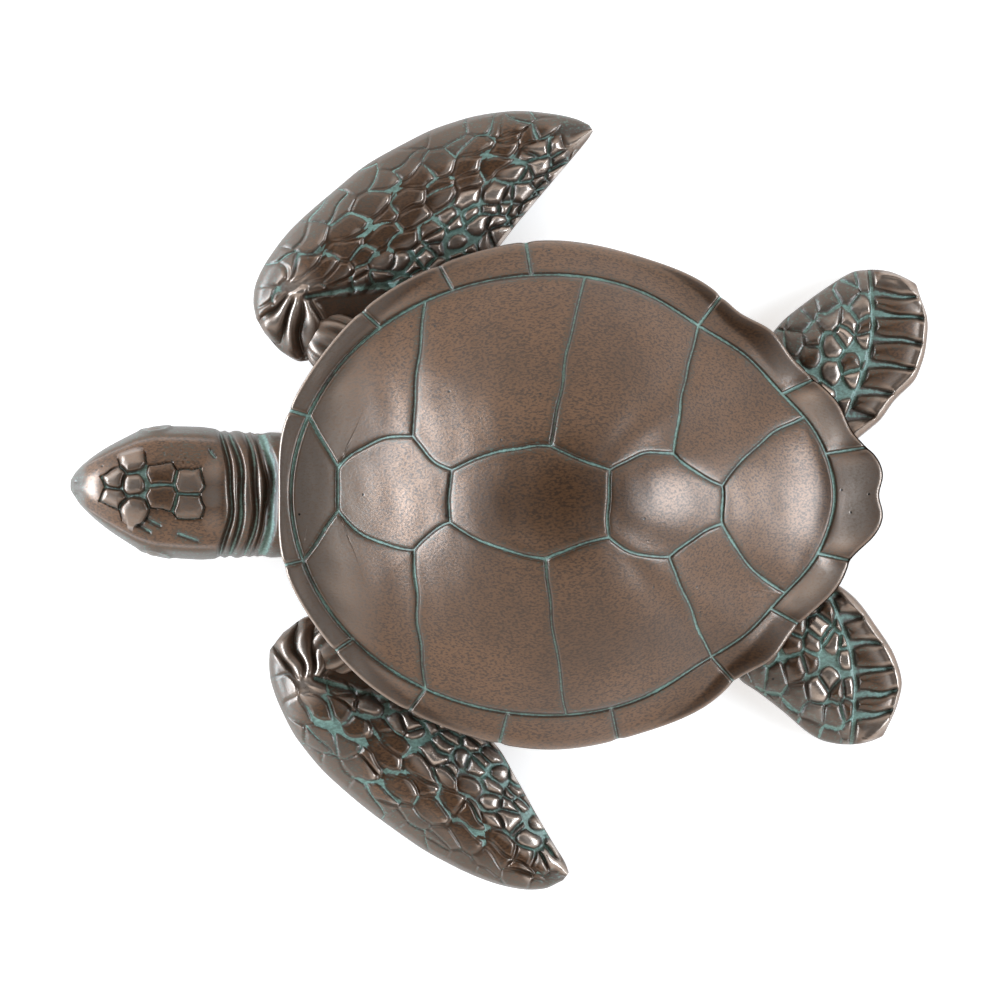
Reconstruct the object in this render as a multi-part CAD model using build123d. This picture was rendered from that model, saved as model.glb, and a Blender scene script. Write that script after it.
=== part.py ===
from build123d import *
from math import atan2, cos, hypot, pi, radians, sin, sqrt
import os

import numpy as np

# Sea turtle figurine, cast in pieces: a hollow carapace glued on a hollow plastron, with the head
# and four flippers pinned on under the carapace's rim, and felt where it stands.
# Millimetres. The head points to -Y, the animal's left is +X and Z is up. Heights are over the
# flat belly, and at the end all is raised by the felt, so that the origin is its rest face.

# Carapace
CARAPACE_LENGTH = 211.0
CARAPACE_WIDTH = 178.0
CARAPACE_FRONT = 105.0  # from the origin forward to the front edge
CARAPACE_APEX_Z = 72.0
CARAPACE_WALL = 5.0
RIM_THICKNESS = 6.0
RIM_FILLET = 1.5
SEAM_WIDTH = 1.6
SEAM_DEPTH = 0.9
DOME_CENTRE_Y = -5.0  # the point that the margin's seams radiate from

# Underside of the rim
RIM_FRONT_Z = 33.0
RIM_SHOULDER_Z = 23.0
RIM_SIDE_Z = 15.5
RIM_REAR_Z = 16.5
RIM_SHOULDER_SHARE = 0.22  # shares of the carapace's length, from its front edge
RIM_SIDE_SHARE = 0.55
RIM_END_SHARE = 0.1  # how far the line runs on past both ends

# Plastron, the lower half of the body
BODY_INSET = 4.0  # from the ring seam in to the body's side
BELLY_INSET = 15.0  # from the body's side in to the flat belly
BODY_WALL = 5.0
BELLY_THICKNESS = 5.0
BELLY_CURVE_Z = 12.0  # where the slope up from the belly ends
LIP_HEIGHT = 4.0
SEAT_CLEARANCE = 0.2
TAIL_REACH = 20.0
TAIL_RADIUS = 6.5
TAIL_Z = 8.5

# Felt under the belly and the flippers
FELT_THICKNESS = 2.0
FELT_MARGIN = 6.0
FELT_DOT_DIAMETER = 10.0
FRONT_DOT_AT = 98.0  # along the blade
HIND_DOT_AT = 34.0
FRONT_DOT_ASIDE = 4.0  # from the blade's axis to its leading edge

# Steel dowels in the joints
DOWEL_DIAMETER = 4.0
DOWEL_LENGTH = 22.0
DOWEL_CLEARANCE = 0.1
NECK_DOWEL_SPACING = 20.0
ARM_DOWEL_SPACING = 11.0
THIGH_DOWEL_SPACING = 11.0
STUB_REACH = 3.5  # how far a joint's face stands out from the body's side
STUB_DEPTH = 16.0  # how far the stub behind that face runs into the body

# Head and neck
NECK_HALF_WIDTH = 21.5
NECK_HALF_HEIGHT = 14.0
NECK_Z = 15.5
HEAD_REACH = 78.2  # from the neck's joint to the tip of the beak
HEAD_TURN = 3.5  # to the right, at the tip of the beak
EYE_RADIUS = 4.4
EYE_SPREAD = 18.8  # from the middle of the head
EYE_RISE = 6.5  # over the neck's middle
FOLD_WIDTH = 2.0
FOLD_DEPTH = 1.1
FOLD_SWEEP = 9.5  # how far forward a fold runs on the neck's sides
FOLD_DROP = 4.0  # how far under the neck's middle a fold ends
PLATE_HEIGHT = 0.7

# Flippers
ARM_HALF_WIDTH = 12.0
ARM_HALF_HEIGHT = 8.0
ARM_Z = 11.0
ARM_LENGTH = 20.0
ARM_TAPER = 0.8  # its size at the elbow, as a share of that at the joint
THIGH_HALF_WIDTH = 12.0
THIGH_HALF_HEIGHT = 6.0
THIGH_Z = 6.6
LIMB_CLEARANCE = 0.8  # to the body's side and the rim
LEADING_FULLNESS = 0.30  # how much thicker a blade is towards its leading edge
SCALE_HEIGHT = 1.0
SCALE_PITCH = 18.0  # along the blade
SCALE_GAP = 1.8
SCALES_FROM = 42.0  # along the blade, to the first scale's middle
SCALES_TO = 108.0
GROOVE_WIDTH = 2.2  # between the elbow's folds
GROOVE_DEPTH = 1.5
CREASE_WIDTH = 3.4  # between the arm and the blade
# At a blade's root and tip: the height of its middle, and its top and underside from there
FRONT_BLADE_HEIGHTS = {"root": (9.5, 9.0, 8.0), "tip": (2.5, 5.5, 4.5)}
HIND_BLADE_HEIGHTS = {"root": (6.6, 6.0, 6.2), "tip": (3.0, 4.5, 4.8)}

# Half outlines of the rim and of the ring seam, as shares of the half width and of the length
RIM_OUTLINE = [
    (0.0, 0.0), (0.236, 0.005), (0.517, 0.062), (0.742, 0.147), (0.921, 0.284), (1.0, 0.460),
    (0.927, 0.611), (0.792, 0.727), (0.713, 0.765), (0.646, 0.815), (0.545, 0.848), (0.472, 0.879),
    (0.339, 0.932), (0.242, 0.952), (0.169, 0.983), (0.067, 1.0), (0.0, 0.994),
]
RING_OUTLINE = [
    (0.0, 0.021), (0.281, 0.045), (0.551, 0.118), (0.758, 0.242), (0.860, 0.431), (0.775, 0.616),
    (0.652, 0.701), (0.545, 0.772), (0.404, 0.829), (0.281, 0.877), (0.124, 0.910), (0.0, 0.919),
]
# Scute junctions beside the keel, front to back, as shares like the outlines
KEEL_JUNCTIONS = {
    "right": [
        (-0.107, 0.099), (-0.228, 0.222), (-0.096, 0.286), (-0.188, 0.447),
        (-0.096, 0.544), (-0.160, 0.648), (-0.036, 0.729),
    ],
    "left": [
        (0.062, 0.099), (0.213, 0.224), (0.106, 0.283), (0.246, 0.439),
        (0.163, 0.542), (0.239, 0.641), (0.111, 0.729),
    ],
}
# How far each seam along the keel bows outwards, as a share of its chord
KEEL_BOWS = [0.12, -0.08, 0.06, -0.02, 0.10, -0.05, 0.08]
# Angles from the front, round the dome's centre: where seams end on the ring, and the margin's seams
RING_JUNCTIONS = {"right": [17, 54, 95, 128, 162], "left": [14, 54, 90, 132, 156]}
JOINED_TO = [0, 1, 3, 5, 6]  # the keel junction at the other end of each
MARGIN_SEAMS = {"right": [17, 42, 61, 81, 128, 155, 171], "left": [14, 34, 54, 75, 102, 132, 151, 167]}

# Sections of the head: share of its reach, half width, middle over the neck's, and up and down from it
HEAD_SECTIONS = [
    (0.10, 22.0, 0.0, 14.5, 14.0), (0.30, 22.4, 0.5, 15.5, 14.0), (0.43, 23.3, 1.5, 16.5, 13.5),
    (0.60, 22.9, 2.5, 16.0, 12.5), (0.68, 21.2, 3.0, 15.0, 12.0), (0.765, 17.7, 3.5, 13.5, 11.0),
    (0.855, 13.3, 3.5, 11.5, 10.0), (0.933, 8.4, 3.0, 8.5, 8.0), (0.98, 4.4, 2.5, 5.0, 5.0),
    (1.0, 1.8, 2.0, 2.2, 2.6),
]
EYE_STATION = 0.62
NECK_FOLDS = [0.275, 0.228, 0.169, 0.137]  # shares of the head's reach
# Plates of the crown: from the middle line, share of the reach, half width and half length
CROWN_PLATES = [
    (-4.2, 0.794, 2.8, 2.5), (3.1, 0.794, 2.8, 2.5), (-1.8, 0.700, 2.5, 2.3), (-10.2, 0.725, 4.0, 4.6),
    (7.0, 0.700, 4.0, 4.8), (-5.8, 0.576, 3.1, 3.8), (2.3, 0.567, 3.6, 4.4), (-4.0, 0.450, 3.9, 4.3),
    (5.0, 0.452, 4.0, 4.3), (-13.4, 0.488, 3.6, 6.0),
]
# Rows of a front blade's large scales, as shares of its chord from the leading edge
SCALE_ROWS = [0.28, 0.52, 0.76]
# Lines carved into a front blade, as distances along it and towards its trailing edge from its axis
CREASE_LINE = [(20.0, 1.5), (56.0, 27.5)]
ELBOW_GROOVES = [
    [(12.1, -1.0), (-6.5, 2.8)], [(12.9, 0.8), (-2.8, 11.6)],
    [(14.3, 2.2), (4.1, 18.2)], [(16.2, 2.9), (13.0, 21.7)],
]
# Each flipper: the joint's angle round the body and the way it faces, the blade's heading and its
# start from the joint (outwards, backwards), and its outline: distance along the blade, then its
# leading and trailing edge on either side of its axis. Angles are from the front.
FRONT_FLIPPERS = {
    "right": {
        "joint": 33.5, "facing": 31.0, "heading": 150.0, "start": (12.8, -32.0),
        "outline": [
            (-2.0, 1.5, 5.0), (-0.2, 6.5, 13.2), (4.2, 12.2, 19.8), (13.0, 17.8, 22.0), (25.0, 22.6, 21.2),
            (42.0, 26.2, 23.3), (62.0, 29.0, 23.2), (80.0, 28.5, 20.7), (95.0, 26.1, 15.2),
            (111.5, 20.2, 9.2), (123.5, 12.4, 4.9), (131.0, 5.6, 2.0), (133.5, 2.0, 0.7),
        ],
    },
    "left": {
        "joint": 33.5, "facing": 31.0, "heading": 142.5, "start": (5.8, -27.5),
        "outline": [
            (-2.0, 1.0, 7.0), (0.8, 5.0, 16.0), (5.0, 9.4, 20.0), (13.0, 14.6, 20.5), (25.5, 20.2, 18.5),
            (43.0, 23.8, 20.2), (61.0, 24.7, 22.2), (80.0, 24.2, 21.1), (95.0, 22.2, 15.6),
            (107.5, 19.2, 10.2), (118.5, 14.6, 5.7), (126.0, 8.8, 2.8), (129.2, 2.8, 0.8),
        ],
    },
}
HIND_FLIPPERS = {
    "right": {
        "joint": 157.0, "facing": 141.0,
        "outline": [
            (6.0, 16.0, 18.5), (12.0, 21.7, 26.2), (20.0, 22.8, 26.2), (31.0, 22.5, 23.8), (39.0, 21.9, 23.1),
            (46.5, 20.8, 19.5), (53.0, 17.0, 14.0), (57.5, 12.5, 8.5), (60.5, 7.0, 0.5),
        ],
    },
    "left": {
        "joint": 151.0, "facing": 133.0,
        "outline": [
            (6.0, 18.0, 17.0), (12.0, 24.5, 23.7), (19.5, 22.9, 24.7), (32.0, 20.9, 23.3), (40.0, 20.1, 22.0),
            (46.0, 18.6, 19.9), (51.5, 15.3, 16.7), (56.5, 10.3, 9.7), (59.5, 5.3, 2.7),
        ],
    },
}

SIDES = {"right": -1, "left": 1}
WIDE = 3 * CARAPACE_LENGTH
SECTION_POINTS = 12
DOME_GRID = (9, 9)  # sections of the dome, and points of each
CREASE = 0.03  # how softly the dome runs into the margin


def plan_point(across, along):
    """A point of the carapace's plan, from its shares of the half width and of the length."""
    return (across * CARAPACE_WIDTH / 2, along * CARAPACE_LENGTH - CARAPACE_FRONT)


def closed_outline(half):
    """One smooth closed curve through a half outline and its mirror image."""
    left = [plan_point(across, along) for across, along in half]
    right = [(-x, y) for x, y in reversed(left[1:-1])]
    return Spline(*left, *right, periodic=True)


def direction(angle, side=1):
    """Level unit vector at an angle from the front, turned towards a side."""
    return Vector(side * sin(radians(angle)), -cos(radians(angle)))


class Outline:
    """A closed curve of the plan, read by the angle round the dome's centre."""

    SAMPLES = 720
    POINTS = 32

    def __init__(self, curve):
        self.curve = curve
        points = [curve @ (i / self.SAMPLES) for i in range(self.SAMPLES)]
        polar = sorted((atan2(p.X, DOME_CENTRE_Y - p.Y), hypot(p.X, p.Y - DOME_CENTRE_Y)) for p in points)
        self.angles, self.radii = np.array(polar).T

    def inset(self, distance):
        """The outline moved inwards by a distance, as a smooth curve of its own."""
        points = []
        for i in range(self.POINTS):
            tangent = self.curve % (i / self.POINTS)
            points.append(self.curve @ (i / self.POINTS) + Vector(-tangent.Y, tangent.X) * distance)
        return Outline(Spline(*points, periodic=True))

    def face(self, z=0.0):
        """The area inside the outline, at a height."""
        return Pos(0, 0, z) * make_face(self.curve)

    def radius(self, angle):
        """Radius at an angle in radians, positive to the left."""
        return float(np.interp(angle, self.angles, self.radii, period=2 * pi))

    def point(self, angle, side=1, reach=0.0):
        """The point at an angle in degrees towards a side, moved outwards by reach."""
        radius = self.radius(radians(side * angle)) + reach
        return Vector(0, DOME_CENTRE_Y) + direction(angle, side) * radius


class RimLine:
    """The rim's underside in side view, which the carapace and the plastron meet along."""

    def __init__(self):
        front, rear = -CARAPACE_FRONT, CARAPACE_LENGTH - CARAPACE_FRONT
        shoulder = front + CARAPACE_LENGTH * RIM_SHOULDER_SHARE
        middle = front + CARAPACE_LENGTH * RIM_SIDE_SHARE
        ends = RIM_END_SHARE * CARAPACE_LENGTH
        slope = (RIM_FRONT_Z - RIM_SHOULDER_Z) / (shoulder - front)
        self.points = [
            (front - ends, RIM_FRONT_Z + slope * ends), (front, RIM_FRONT_Z), (shoulder, RIM_SHOULDER_Z),
            (middle, RIM_SIDE_Z), (rear, RIM_REAR_Z), (rear + ends, RIM_REAR_Z),
        ]
        samples = [Spline(*self.points) @ (i / 80) for i in range(81)]
        self.stations = [p.X for p in samples]
        self.heights = [p.Y for p in samples]

    def height(self, y):
        """Height of the rim's underside at a station."""
        return float(np.interp(y, self.stations, self.heights))

    def below(self, lift=0.0):
        """Everything below the line, raised by lift, right across the figurine."""
        points = [(y, z + lift) for y, z in self.points]
        front, rear = points[0], points[-1]
        under = Polyline(rear, (rear[0], -WIDE), (front[0], -WIDE), front)
        return Pos(-WIDE / 2) * extrude(Plane.YZ * make_face(Spline(*points) + under), WIDE)


rim = Outline(closed_outline(RIM_OUTLINE))
ring = Outline(closed_outline(RING_OUTLINE))
rim_line = RimLine()
body = ring.inset(BODY_INSET)
belly = body.inset(BELLY_INSET)


def dome_height(x, y):
    """Height of the carapace's outside: a dome that runs out flat at the front and rear margin."""
    angle = atan2(x, DOME_CENTRE_Y - y)
    sideways = sin(angle) ** 2
    base = ring.radius(angle) + (rim.radius(angle) - ring.radius(angle)) * sideways
    inside = 1 - (hypot(x, y - DOME_CENTRE_Y) / base) ** 2
    inside = (inside + sqrt(inside**2 + CREASE**2)) / 2
    margin = rim_line.height(y) + RIM_THICKNESS
    return margin + (CARAPACE_APEX_Z - margin) * inside ** (1.6 - 0.5 * sideways)


def below_dome(lowered=0.0):
    """Everything below the carapace's outside, which is lowered by a wall or a seam's depth."""
    half = 0.54 * CARAPACE_WIDTH
    stations = 0.5 + 0.53 * np.sin(np.linspace(-pi / 2, pi / 2, DOME_GRID[0]))
    across = half * np.sin(np.linspace(-pi / 2, pi / 2, DOME_GRID[1]))
    sections = []
    for along in stations:
        y = plan_point(0, along)[1]
        top = Spline(*[(x, y, dome_height(x, y) - lowered) for x in across])
        under = Polyline(top @ 1, (half, y, -lowered - 1), (-half, y, -lowered - 1), top @ 0)
        sections.append(Face(Wire(top.edges() + under.edges())))
    return loft(sections)


def bowed(start, end, bow):
    """A seam between two points, bowed sideways by a share of its chord."""
    chord = end - start
    middle = (start + end) / 2 + Vector(chord.Y, -chord.X) * bow
    return ThreePointArc(start, middle, end) if bow else Line(start, end)


def seam_lines():
    """All seams of the scutes but the ring."""
    seams = []
    junctions = {side: [Vector(*plan_point(*p)) for p in KEEL_JUNCTIONS[side]] for side in SIDES}
    for side, sign in SIDES.items():
        keel = junctions[side]
        ends = [ring.point(angle, sign) for angle in RING_JUNCTIONS[side]]
        chain = keel + [ends[-1]]
        seams += [bowed(a, b, sign * bow) for a, b, bow in zip(chain, chain[1:], KEEL_BOWS)]
        seams += [bowed(keel[i], end, 0) for i, end in zip(JOINED_TO[:-1], ends)]
        reach = -2 * RIM_FILLET
        margin = [(ring.point(angle, sign), rim.point(angle, sign, reach)) for angle in MARGIN_SEAMS[side]]
        seams += [bowed(a, b, 0) for a, b in margin]
    for i in (0, 2, 4, 6):
        seams.append(bowed(junctions["right"][i], junctions["left"][i], 0))
    return seams


def make_carapace():
    """The shell's upper half: domed, hollow, with a seam cut between every two scutes."""
    outside = extrude(rim.face(), WIDE) & below_dome()
    outside -= rim_line.below()
    hollow = extrude(body.inset(BODY_WALL / 2).face(), WIDE) & below_dome(CARAPACE_WALL)
    seams = Sketch() + [trace(line, SEAM_WIDTH) for line in seam_lines()]
    seams += ring.inset(-SEAM_WIDTH / 2).face() - ring.inset(SEAM_WIDTH / 2).face()
    cut = extrude(seams, WIDE) - below_dome(SEAM_DEPTH)
    outside -= cut
    outside = fillet(outside.edges().filter_by(lambda e: e.length > 2 * CARAPACE_LENGTH), RIM_FILLET)
    return outside - hollow


def joint_plane(angle, facing, z, side=1):
    """The face of a limb's joint: its normal points out of the body, its X axis is level."""
    origin = body.point(angle, side, STUB_REACH) + Vector(0, 0, z)
    normal = direction(facing, side)
    return Plane(origin, x_dir=Vector(-normal.Y, normal.X), z_dir=normal)


neck_joint = joint_plane(0, 0, NECK_Z)
arm_joints = {s: joint_plane(f["joint"], f["facing"], ARM_Z, SIDES[s]) for s, f in FRONT_FLIPPERS.items()}
thigh_joints = {s: joint_plane(f["joint"], f["facing"], THIGH_Z, SIDES[s]) for s, f in HIND_FLIPPERS.items()}


def make_dowels(plane, spacing, diameter=DOWEL_DIAMETER, length=DOWEL_LENGTH):
    """A joint's two dowels, half in the body and half in the limb."""
    places = plane * GridLocations(spacing, 0, 2, 1)
    return Part() + [place * Cylinder(diameter / 2, length) for place in places]


def dowel_holes(plane, spacing):
    """The holes for a joint's dowels, with clearance all round and at the ends."""
    diameter = DOWEL_DIAMETER + 2 * DOWEL_CLEARANCE
    return make_dowels(plane, spacing, diameter, DOWEL_LENGTH + 2 * DOWEL_CLEARANCE)


def make_plastron():
    """The shell's lower half: a tub with a locating lip, a stub for each limb and a short tail."""
    tub = loft([belly.face(), body.face(BELLY_CURVE_Z)]) + extrude(body.face(BELLY_CURVE_Z), WIDE)
    stubs = [(neck_joint, Ellipse(NECK_HALF_WIDTH, NECK_HALF_HEIGHT))]
    stubs += [(plane, Ellipse(ARM_HALF_WIDTH, ARM_HALF_HEIGHT)) for plane in arm_joints.values()]
    stubs += [(plane, Ellipse(THIGH_HALF_WIDTH, THIGH_HALF_HEIGHT)) for plane in thigh_joints.values()]
    solid_stubs = [extrude(plane * face, -STUB_DEPTH - STUB_REACH) for plane, face in stubs]
    inside = body.inset(BODY_WALL)
    inside_curve_z = BELLY_CURVE_Z + BELLY_THICKNESS
    hollow = loft([belly.inset(BODY_WALL).face(BELLY_THICKNESS), inside.face(inside_curve_z)])
    hollow += extrude(inside.face(inside_curve_z), WIDE)
    tail_root = Plane(body.point(180, 1, -BODY_WALL) + Vector(0, 0, TAIL_Z), z_dir=(0, 1, 0))
    tail_tip = tail_root.offset(TAIL_REACH + BODY_WALL)
    tail = loft([tail_root * Circle(TAIL_RADIUS), tail_tip * Circle(TAIL_RADIUS / 3)])
    tub = tub - hollow + solid_stubs + tail
    tub = tub & rim_line.below()
    seat = body.inset(BODY_WALL / 2 + SEAT_CLEARANCE)
    lip = extrude(seat.face() - inside.face(), WIDE)
    lip = lip & rim_line.below(LIP_HEIGHT) & below_dome(CARAPACE_WALL + SEAT_CLEARANCE)
    lip -= rim_line.below(-LIP_HEIGHT)
    tub += lip
    tub -= dowel_holes(neck_joint, NECK_DOWEL_SPACING)
    tub -= [dowel_holes(plane, ARM_DOWEL_SPACING) for plane in arm_joints.values()]
    tub -= [dowel_holes(plane, THIGH_DOWEL_SPACING) for plane in thigh_joints.values()]
    return tub


def lens(origin, across, width, up, down, fullness=0.0):
    """A closed section: a rounded lens, width to either side of its origin along across."""
    points = []
    for i in range(SECTION_POINTS):
        turn = 2 * pi * i / SECTION_POINTS
        rise = sin(turn) * (up if sin(turn) > 0 else down) * (1 - fullness * cos(turn))
        points.append(origin + across * (width * cos(turn)) + Vector(0, 0, rise))
    return Face(Wire([Spline(*points, periodic=True)]))


def with_clearance(limb):
    """A limb cut clear of the body's side and of the rim's underside, and flat where it would stand."""
    limb -= extrude(body.inset(-LIMB_CLEARANCE).face(), WIDE)
    limb -= extrude(rim.face(), WIDE) - rim_line.below(-LIMB_CLEARANCE)
    return limb - Pos(0, 0, -WIDE) * extrude(Rectangle(WIDE, WIDE), WIDE)


def head_middle(share, rise=0.0):
    """The middle of the head at a share of its reach."""
    return Vector(-HEAD_TURN * share**2, neck_joint.origin.Y - HEAD_REACH * share, NECK_Z + rise)


def head_sections(lift=0.0):
    """Sections from the neck's joint to the beak, all of them lifted outwards."""
    across = Vector(1, 0)
    high = NECK_HALF_HEIGHT + lift
    sections = [lens(neck_joint.origin, across, NECK_HALF_WIDTH + lift, high, high)]
    for share, width, middle, up, down in HEAD_SECTIONS:
        sections.append(lens(head_middle(share, middle), across, width + lift, up + lift, down + lift))
    return sections


def fold_band(share):
    """The space of a neck fold in the plan, curving forward on both sides."""
    wide = 2 * NECK_HALF_WIDTH
    ends = [Vector(-wide, -FOLD_SWEEP), Vector(0, 0), Vector(wide, -FOLD_SWEEP)]
    back = [at + Vector(0, FOLD_WIDTH) for at in ends]
    edges = [ThreePointArc(*ends), Line(ends[2], back[2]), ThreePointArc(*back), Line(back[0], ends[0])]
    return Pos(head_middle(share, -FOLD_DROP)) * extrude(make_face(edges), WIDE)


def make_head():
    """Head and neck in one, from the joint to the beak, with its folds, crown plates and eyes."""
    head = loft(head_sections())
    folds = Part() + [fold_band(share) for share in NECK_FOLDS]
    head -= folds - loft(head_sections(-FOLD_DEPTH))
    plates = Part() + [
        Pos(head_middle(share) + Vector(across, 0)) * extrude(Ellipse(half_width, half_length), WIDE)
        for across, share, half_width, half_length in CROWN_PLATES
    ]
    head += loft(head_sections(PLATE_HEIGHT)) & plates
    eye_at = head_middle(EYE_STATION, EYE_RISE)
    head += [Pos(eye_at + Vector(sign * EYE_SPREAD, 0)) * Sphere(EYE_RADIUS) for sign in SIDES.values()]
    return with_clearance(head) - dowel_holes(neck_joint, NECK_DOWEL_SPACING)


def blade_sections(start, heading, side, outline, heights, lift=0.0):
    """Sections of a flipper's blade along its heading, thinner to the trailing edge and the tip."""
    along = direction(heading, side)
    inwards = Vector(-along.Y, along.X) * side
    length = outline[-1][0]
    widest = max(lead + trail for at, lead, trail in outline)
    sections = []
    for at, lead, trail in outline:
        share = max(0.0, at / length)
        middle, up, down = [a + (b - a) * share for a, b in zip(heights["root"], heights["tip"])]
        full = sqrt((lead + trail) / widest)
        origin = start + along * at + inwards * ((trail - lead) / 2) + Vector(0, 0, middle)
        half = (lead + trail) / 2
        sections.append(lens(origin, inwards, half, (up + lift) * full, down * full, LEADING_FULLNESS))
    return sections


def front_blade_start(name):
    """Where a front flipper's blade starts, on the belly's plane."""
    joint = arm_joints[name].origin
    outwards, backwards = FRONT_FLIPPERS[name]["start"]
    return Vector(joint.X + SIDES[name] * outwards, joint.Y + backwards)


class FrontBlade:
    """A front flipper's blade, and places on it."""

    def __init__(self, name):
        self.flipper = FRONT_FLIPPERS[name]
        self.side = SIDES[name]
        self.start = front_blade_start(name)
        self.along = direction(self.flipper["heading"], self.side)
        self.inwards = Vector(-self.along.Y, self.along.X) * self.side
        self.stations, self.lead, self.trail = zip(*self.flipper["outline"])

    def solid(self, lift=0.0):
        """The plain blade, with its upper side lifted."""
        shape = self.flipper["heading"], self.side, self.flipper["outline"], FRONT_BLADE_HEIGHTS
        return loft(blade_sections(self.start, *shape, lift))

    def chord(self, at):
        """The leading and the trailing edge at a distance along the blade."""
        return [float(np.interp(at, self.stations, edge)) for edge in (self.lead, self.trail)]

    def place(self, at, aside):
        """A point in the blade's middle, from distances along it and towards its trailing edge."""
        root, tip = FRONT_BLADE_HEIGHTS["root"][0], FRONT_BLADE_HEIGHTS["tip"][0]
        middle = root + (tip - root) * max(0.0, at / self.stations[-1])
        return self.start + self.along * at + self.inwards * aside + Vector(0, 0, middle)

    def column(self, corners):
        """The space over a patch of the blade, from its corners along and across."""
        points = [self.place(*corner) for corner in corners]
        patch = make_face(Polyline(*[(point.X, point.Y) for point in points], close=True))
        return Pos(0, 0, min(point.Z for point in points)) * extrude(patch, WIDE)

    def slot(self, line, width):
        """The space over a straight carved line."""
        (at, aside), (end_at, end_aside) = line
        run = Vector(end_at - at, end_aside - aside).normalized()
        wide = Vector(-run.Y, run.X) * (width / 2)
        corners = [(at + wide.X, aside + wide.Y), (end_at + wide.X, end_aside + wide.Y)]
        corners += [(end_at - wide.X, end_aside - wide.Y), (at - wide.X, aside - wide.Y)]
        return self.column(corners)

    def scales(self):
        """The spaces over the large scales: rows of six-sided plates, every other row half a pitch on."""
        half_length = (SCALE_PITCH - SCALE_GAP) / 2
        columns = []
        for row, share in enumerate(SCALE_ROWS):
            at = SCALES_FROM + (row % 2) * SCALE_PITCH / 2
            while at <= SCALES_TO:
                lead, trail = self.chord(at)
                middle = (lead + trail) * share - lead
                half_width = (lead + trail) * (SCALE_ROWS[1] - SCALE_ROWS[0]) / 2 - SCALE_GAP / 2
                turns = [2 * pi * i / 6 for i in range(6)]
                columns.append(self.column(
                    [(at + half_length * cos(t), middle + half_width * sin(t) / sin(pi / 3)) for t in turns]
                ))
                at += SCALE_PITCH
        return columns


def make_front_flipper(name):
    """A front flipper: a long swept blade with large scales and elbow folds, and the arm that carries it."""
    plane = arm_joints[name]
    shape = FrontBlade(name)
    carved = Part() + [shape.slot(line, GROOVE_WIDTH) for line in ELBOW_GROOVES]
    carved += shape.slot(CREASE_LINE, CREASE_WIDTH)
    blade = shape.solid() - (carved - shape.solid(-GROOVE_DEPTH))
    blade += shape.solid(SCALE_HEIGHT) & (Part() + shape.scales())
    beside = Ellipse(ARM_HALF_WIDTH + LIMB_CLEARANCE, ARM_HALF_HEIGHT + LIMB_CLEARANCE)
    blade -= extrude(plane * beside, -STUB_DEPTH)
    elbow = plane.offset(ARM_LENGTH)
    arm = loft([
        plane * Ellipse(ARM_HALF_WIDTH, ARM_HALF_HEIGHT),
        elbow * Ellipse(ARM_TAPER * ARM_HALF_WIDTH, ARM_TAPER * ARM_HALF_HEIGHT),
    ])
    return with_clearance(blade + arm) - dowel_holes(plane, ARM_DOWEL_SPACING)


def make_hind_flipper(name):
    """A hind flipper: a short broad paddle on its joint."""
    flipper = HIND_FLIPPERS[name]
    plane = thigh_joints[name]
    start = Vector(plane.origin.X, plane.origin.Y)
    thigh = lens(plane.origin, plane.x_dir, THIGH_HALF_WIDTH, THIGH_HALF_HEIGHT, THIGH_HALF_HEIGHT)
    sections = blade_sections(start, flipper["facing"], SIDES[name], flipper["outline"], HIND_BLADE_HEIGHTS)
    return with_clearance(loft([thigh] + sections)) - dowel_holes(plane, THIGH_DOWEL_SPACING)


def make_belly_felt():
    """The felt that covers the belly."""
    return extrude(belly.inset(FELT_MARGIN).face(), -FELT_THICKNESS)


def make_felt_dots():
    """A felt dot under each flipper, where it stands."""
    places = []
    for name, side in SIDES.items():
        blade = FrontBlade(name)
        places.append(blade.start + blade.along * FRONT_DOT_AT - blade.inwards * FRONT_DOT_ASIDE)
        joint = thigh_joints[name].origin
        places.append(Vector(joint.X, joint.Y) + direction(HIND_FLIPPERS[name]["facing"], side) * HIND_DOT_AT)
    return Part() + [Pos(place) * extrude(Circle(FELT_DOT_DIAMETER / 2), -FELT_THICKNESS) for place in places]


pieces = {
    "carapace": make_carapace(),
    "plastron": make_plastron(),
    "head_and_neck": make_head(),
    "neck_dowels": make_dowels(neck_joint, NECK_DOWEL_SPACING),
    "belly_felt": make_belly_felt(),
    "flipper_felt_dots": make_felt_dots(),
}
for side in SIDES:
    pieces[f"front_flipper_{side}"] = make_front_flipper(side)
    pieces[f"hind_flipper_{side}"] = make_hind_flipper(side)
    pieces[f"front_flipper_{side}_dowels"] = make_dowels(arm_joints[side], ARM_DOWEL_SPACING)
    pieces[f"hind_flipper_{side}_dowels"] = make_dowels(thigh_joints[side], THIGH_DOWEL_SPACING)

os.makedirs("parts", exist_ok=True)
for name, piece in pieces.items():
    export_step(Pos(0, 0, FELT_THICKNESS) * piece, f"parts/{name}.step")
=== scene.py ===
"""Sea turtle figurine in bronze-finish cast resin: the looks of each casting, the stage and the camera.

Shapes are worked out in millimetres in the part's own frame (head to -Y, the animal's left to +X, Z up) and
written to the meshes in metres. Every casting carries three point attributes that its finish reads:
seam_distance, the distance in millimetres to the nearest engraved line, wear_and_highlight, how far handling
has made the paint paler together with the highlights painted in as pale paint, and film, how much grey film
lies over it.
"""

import logging
from dataclasses import dataclass, field
from enum import Enum
from math import pi

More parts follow.
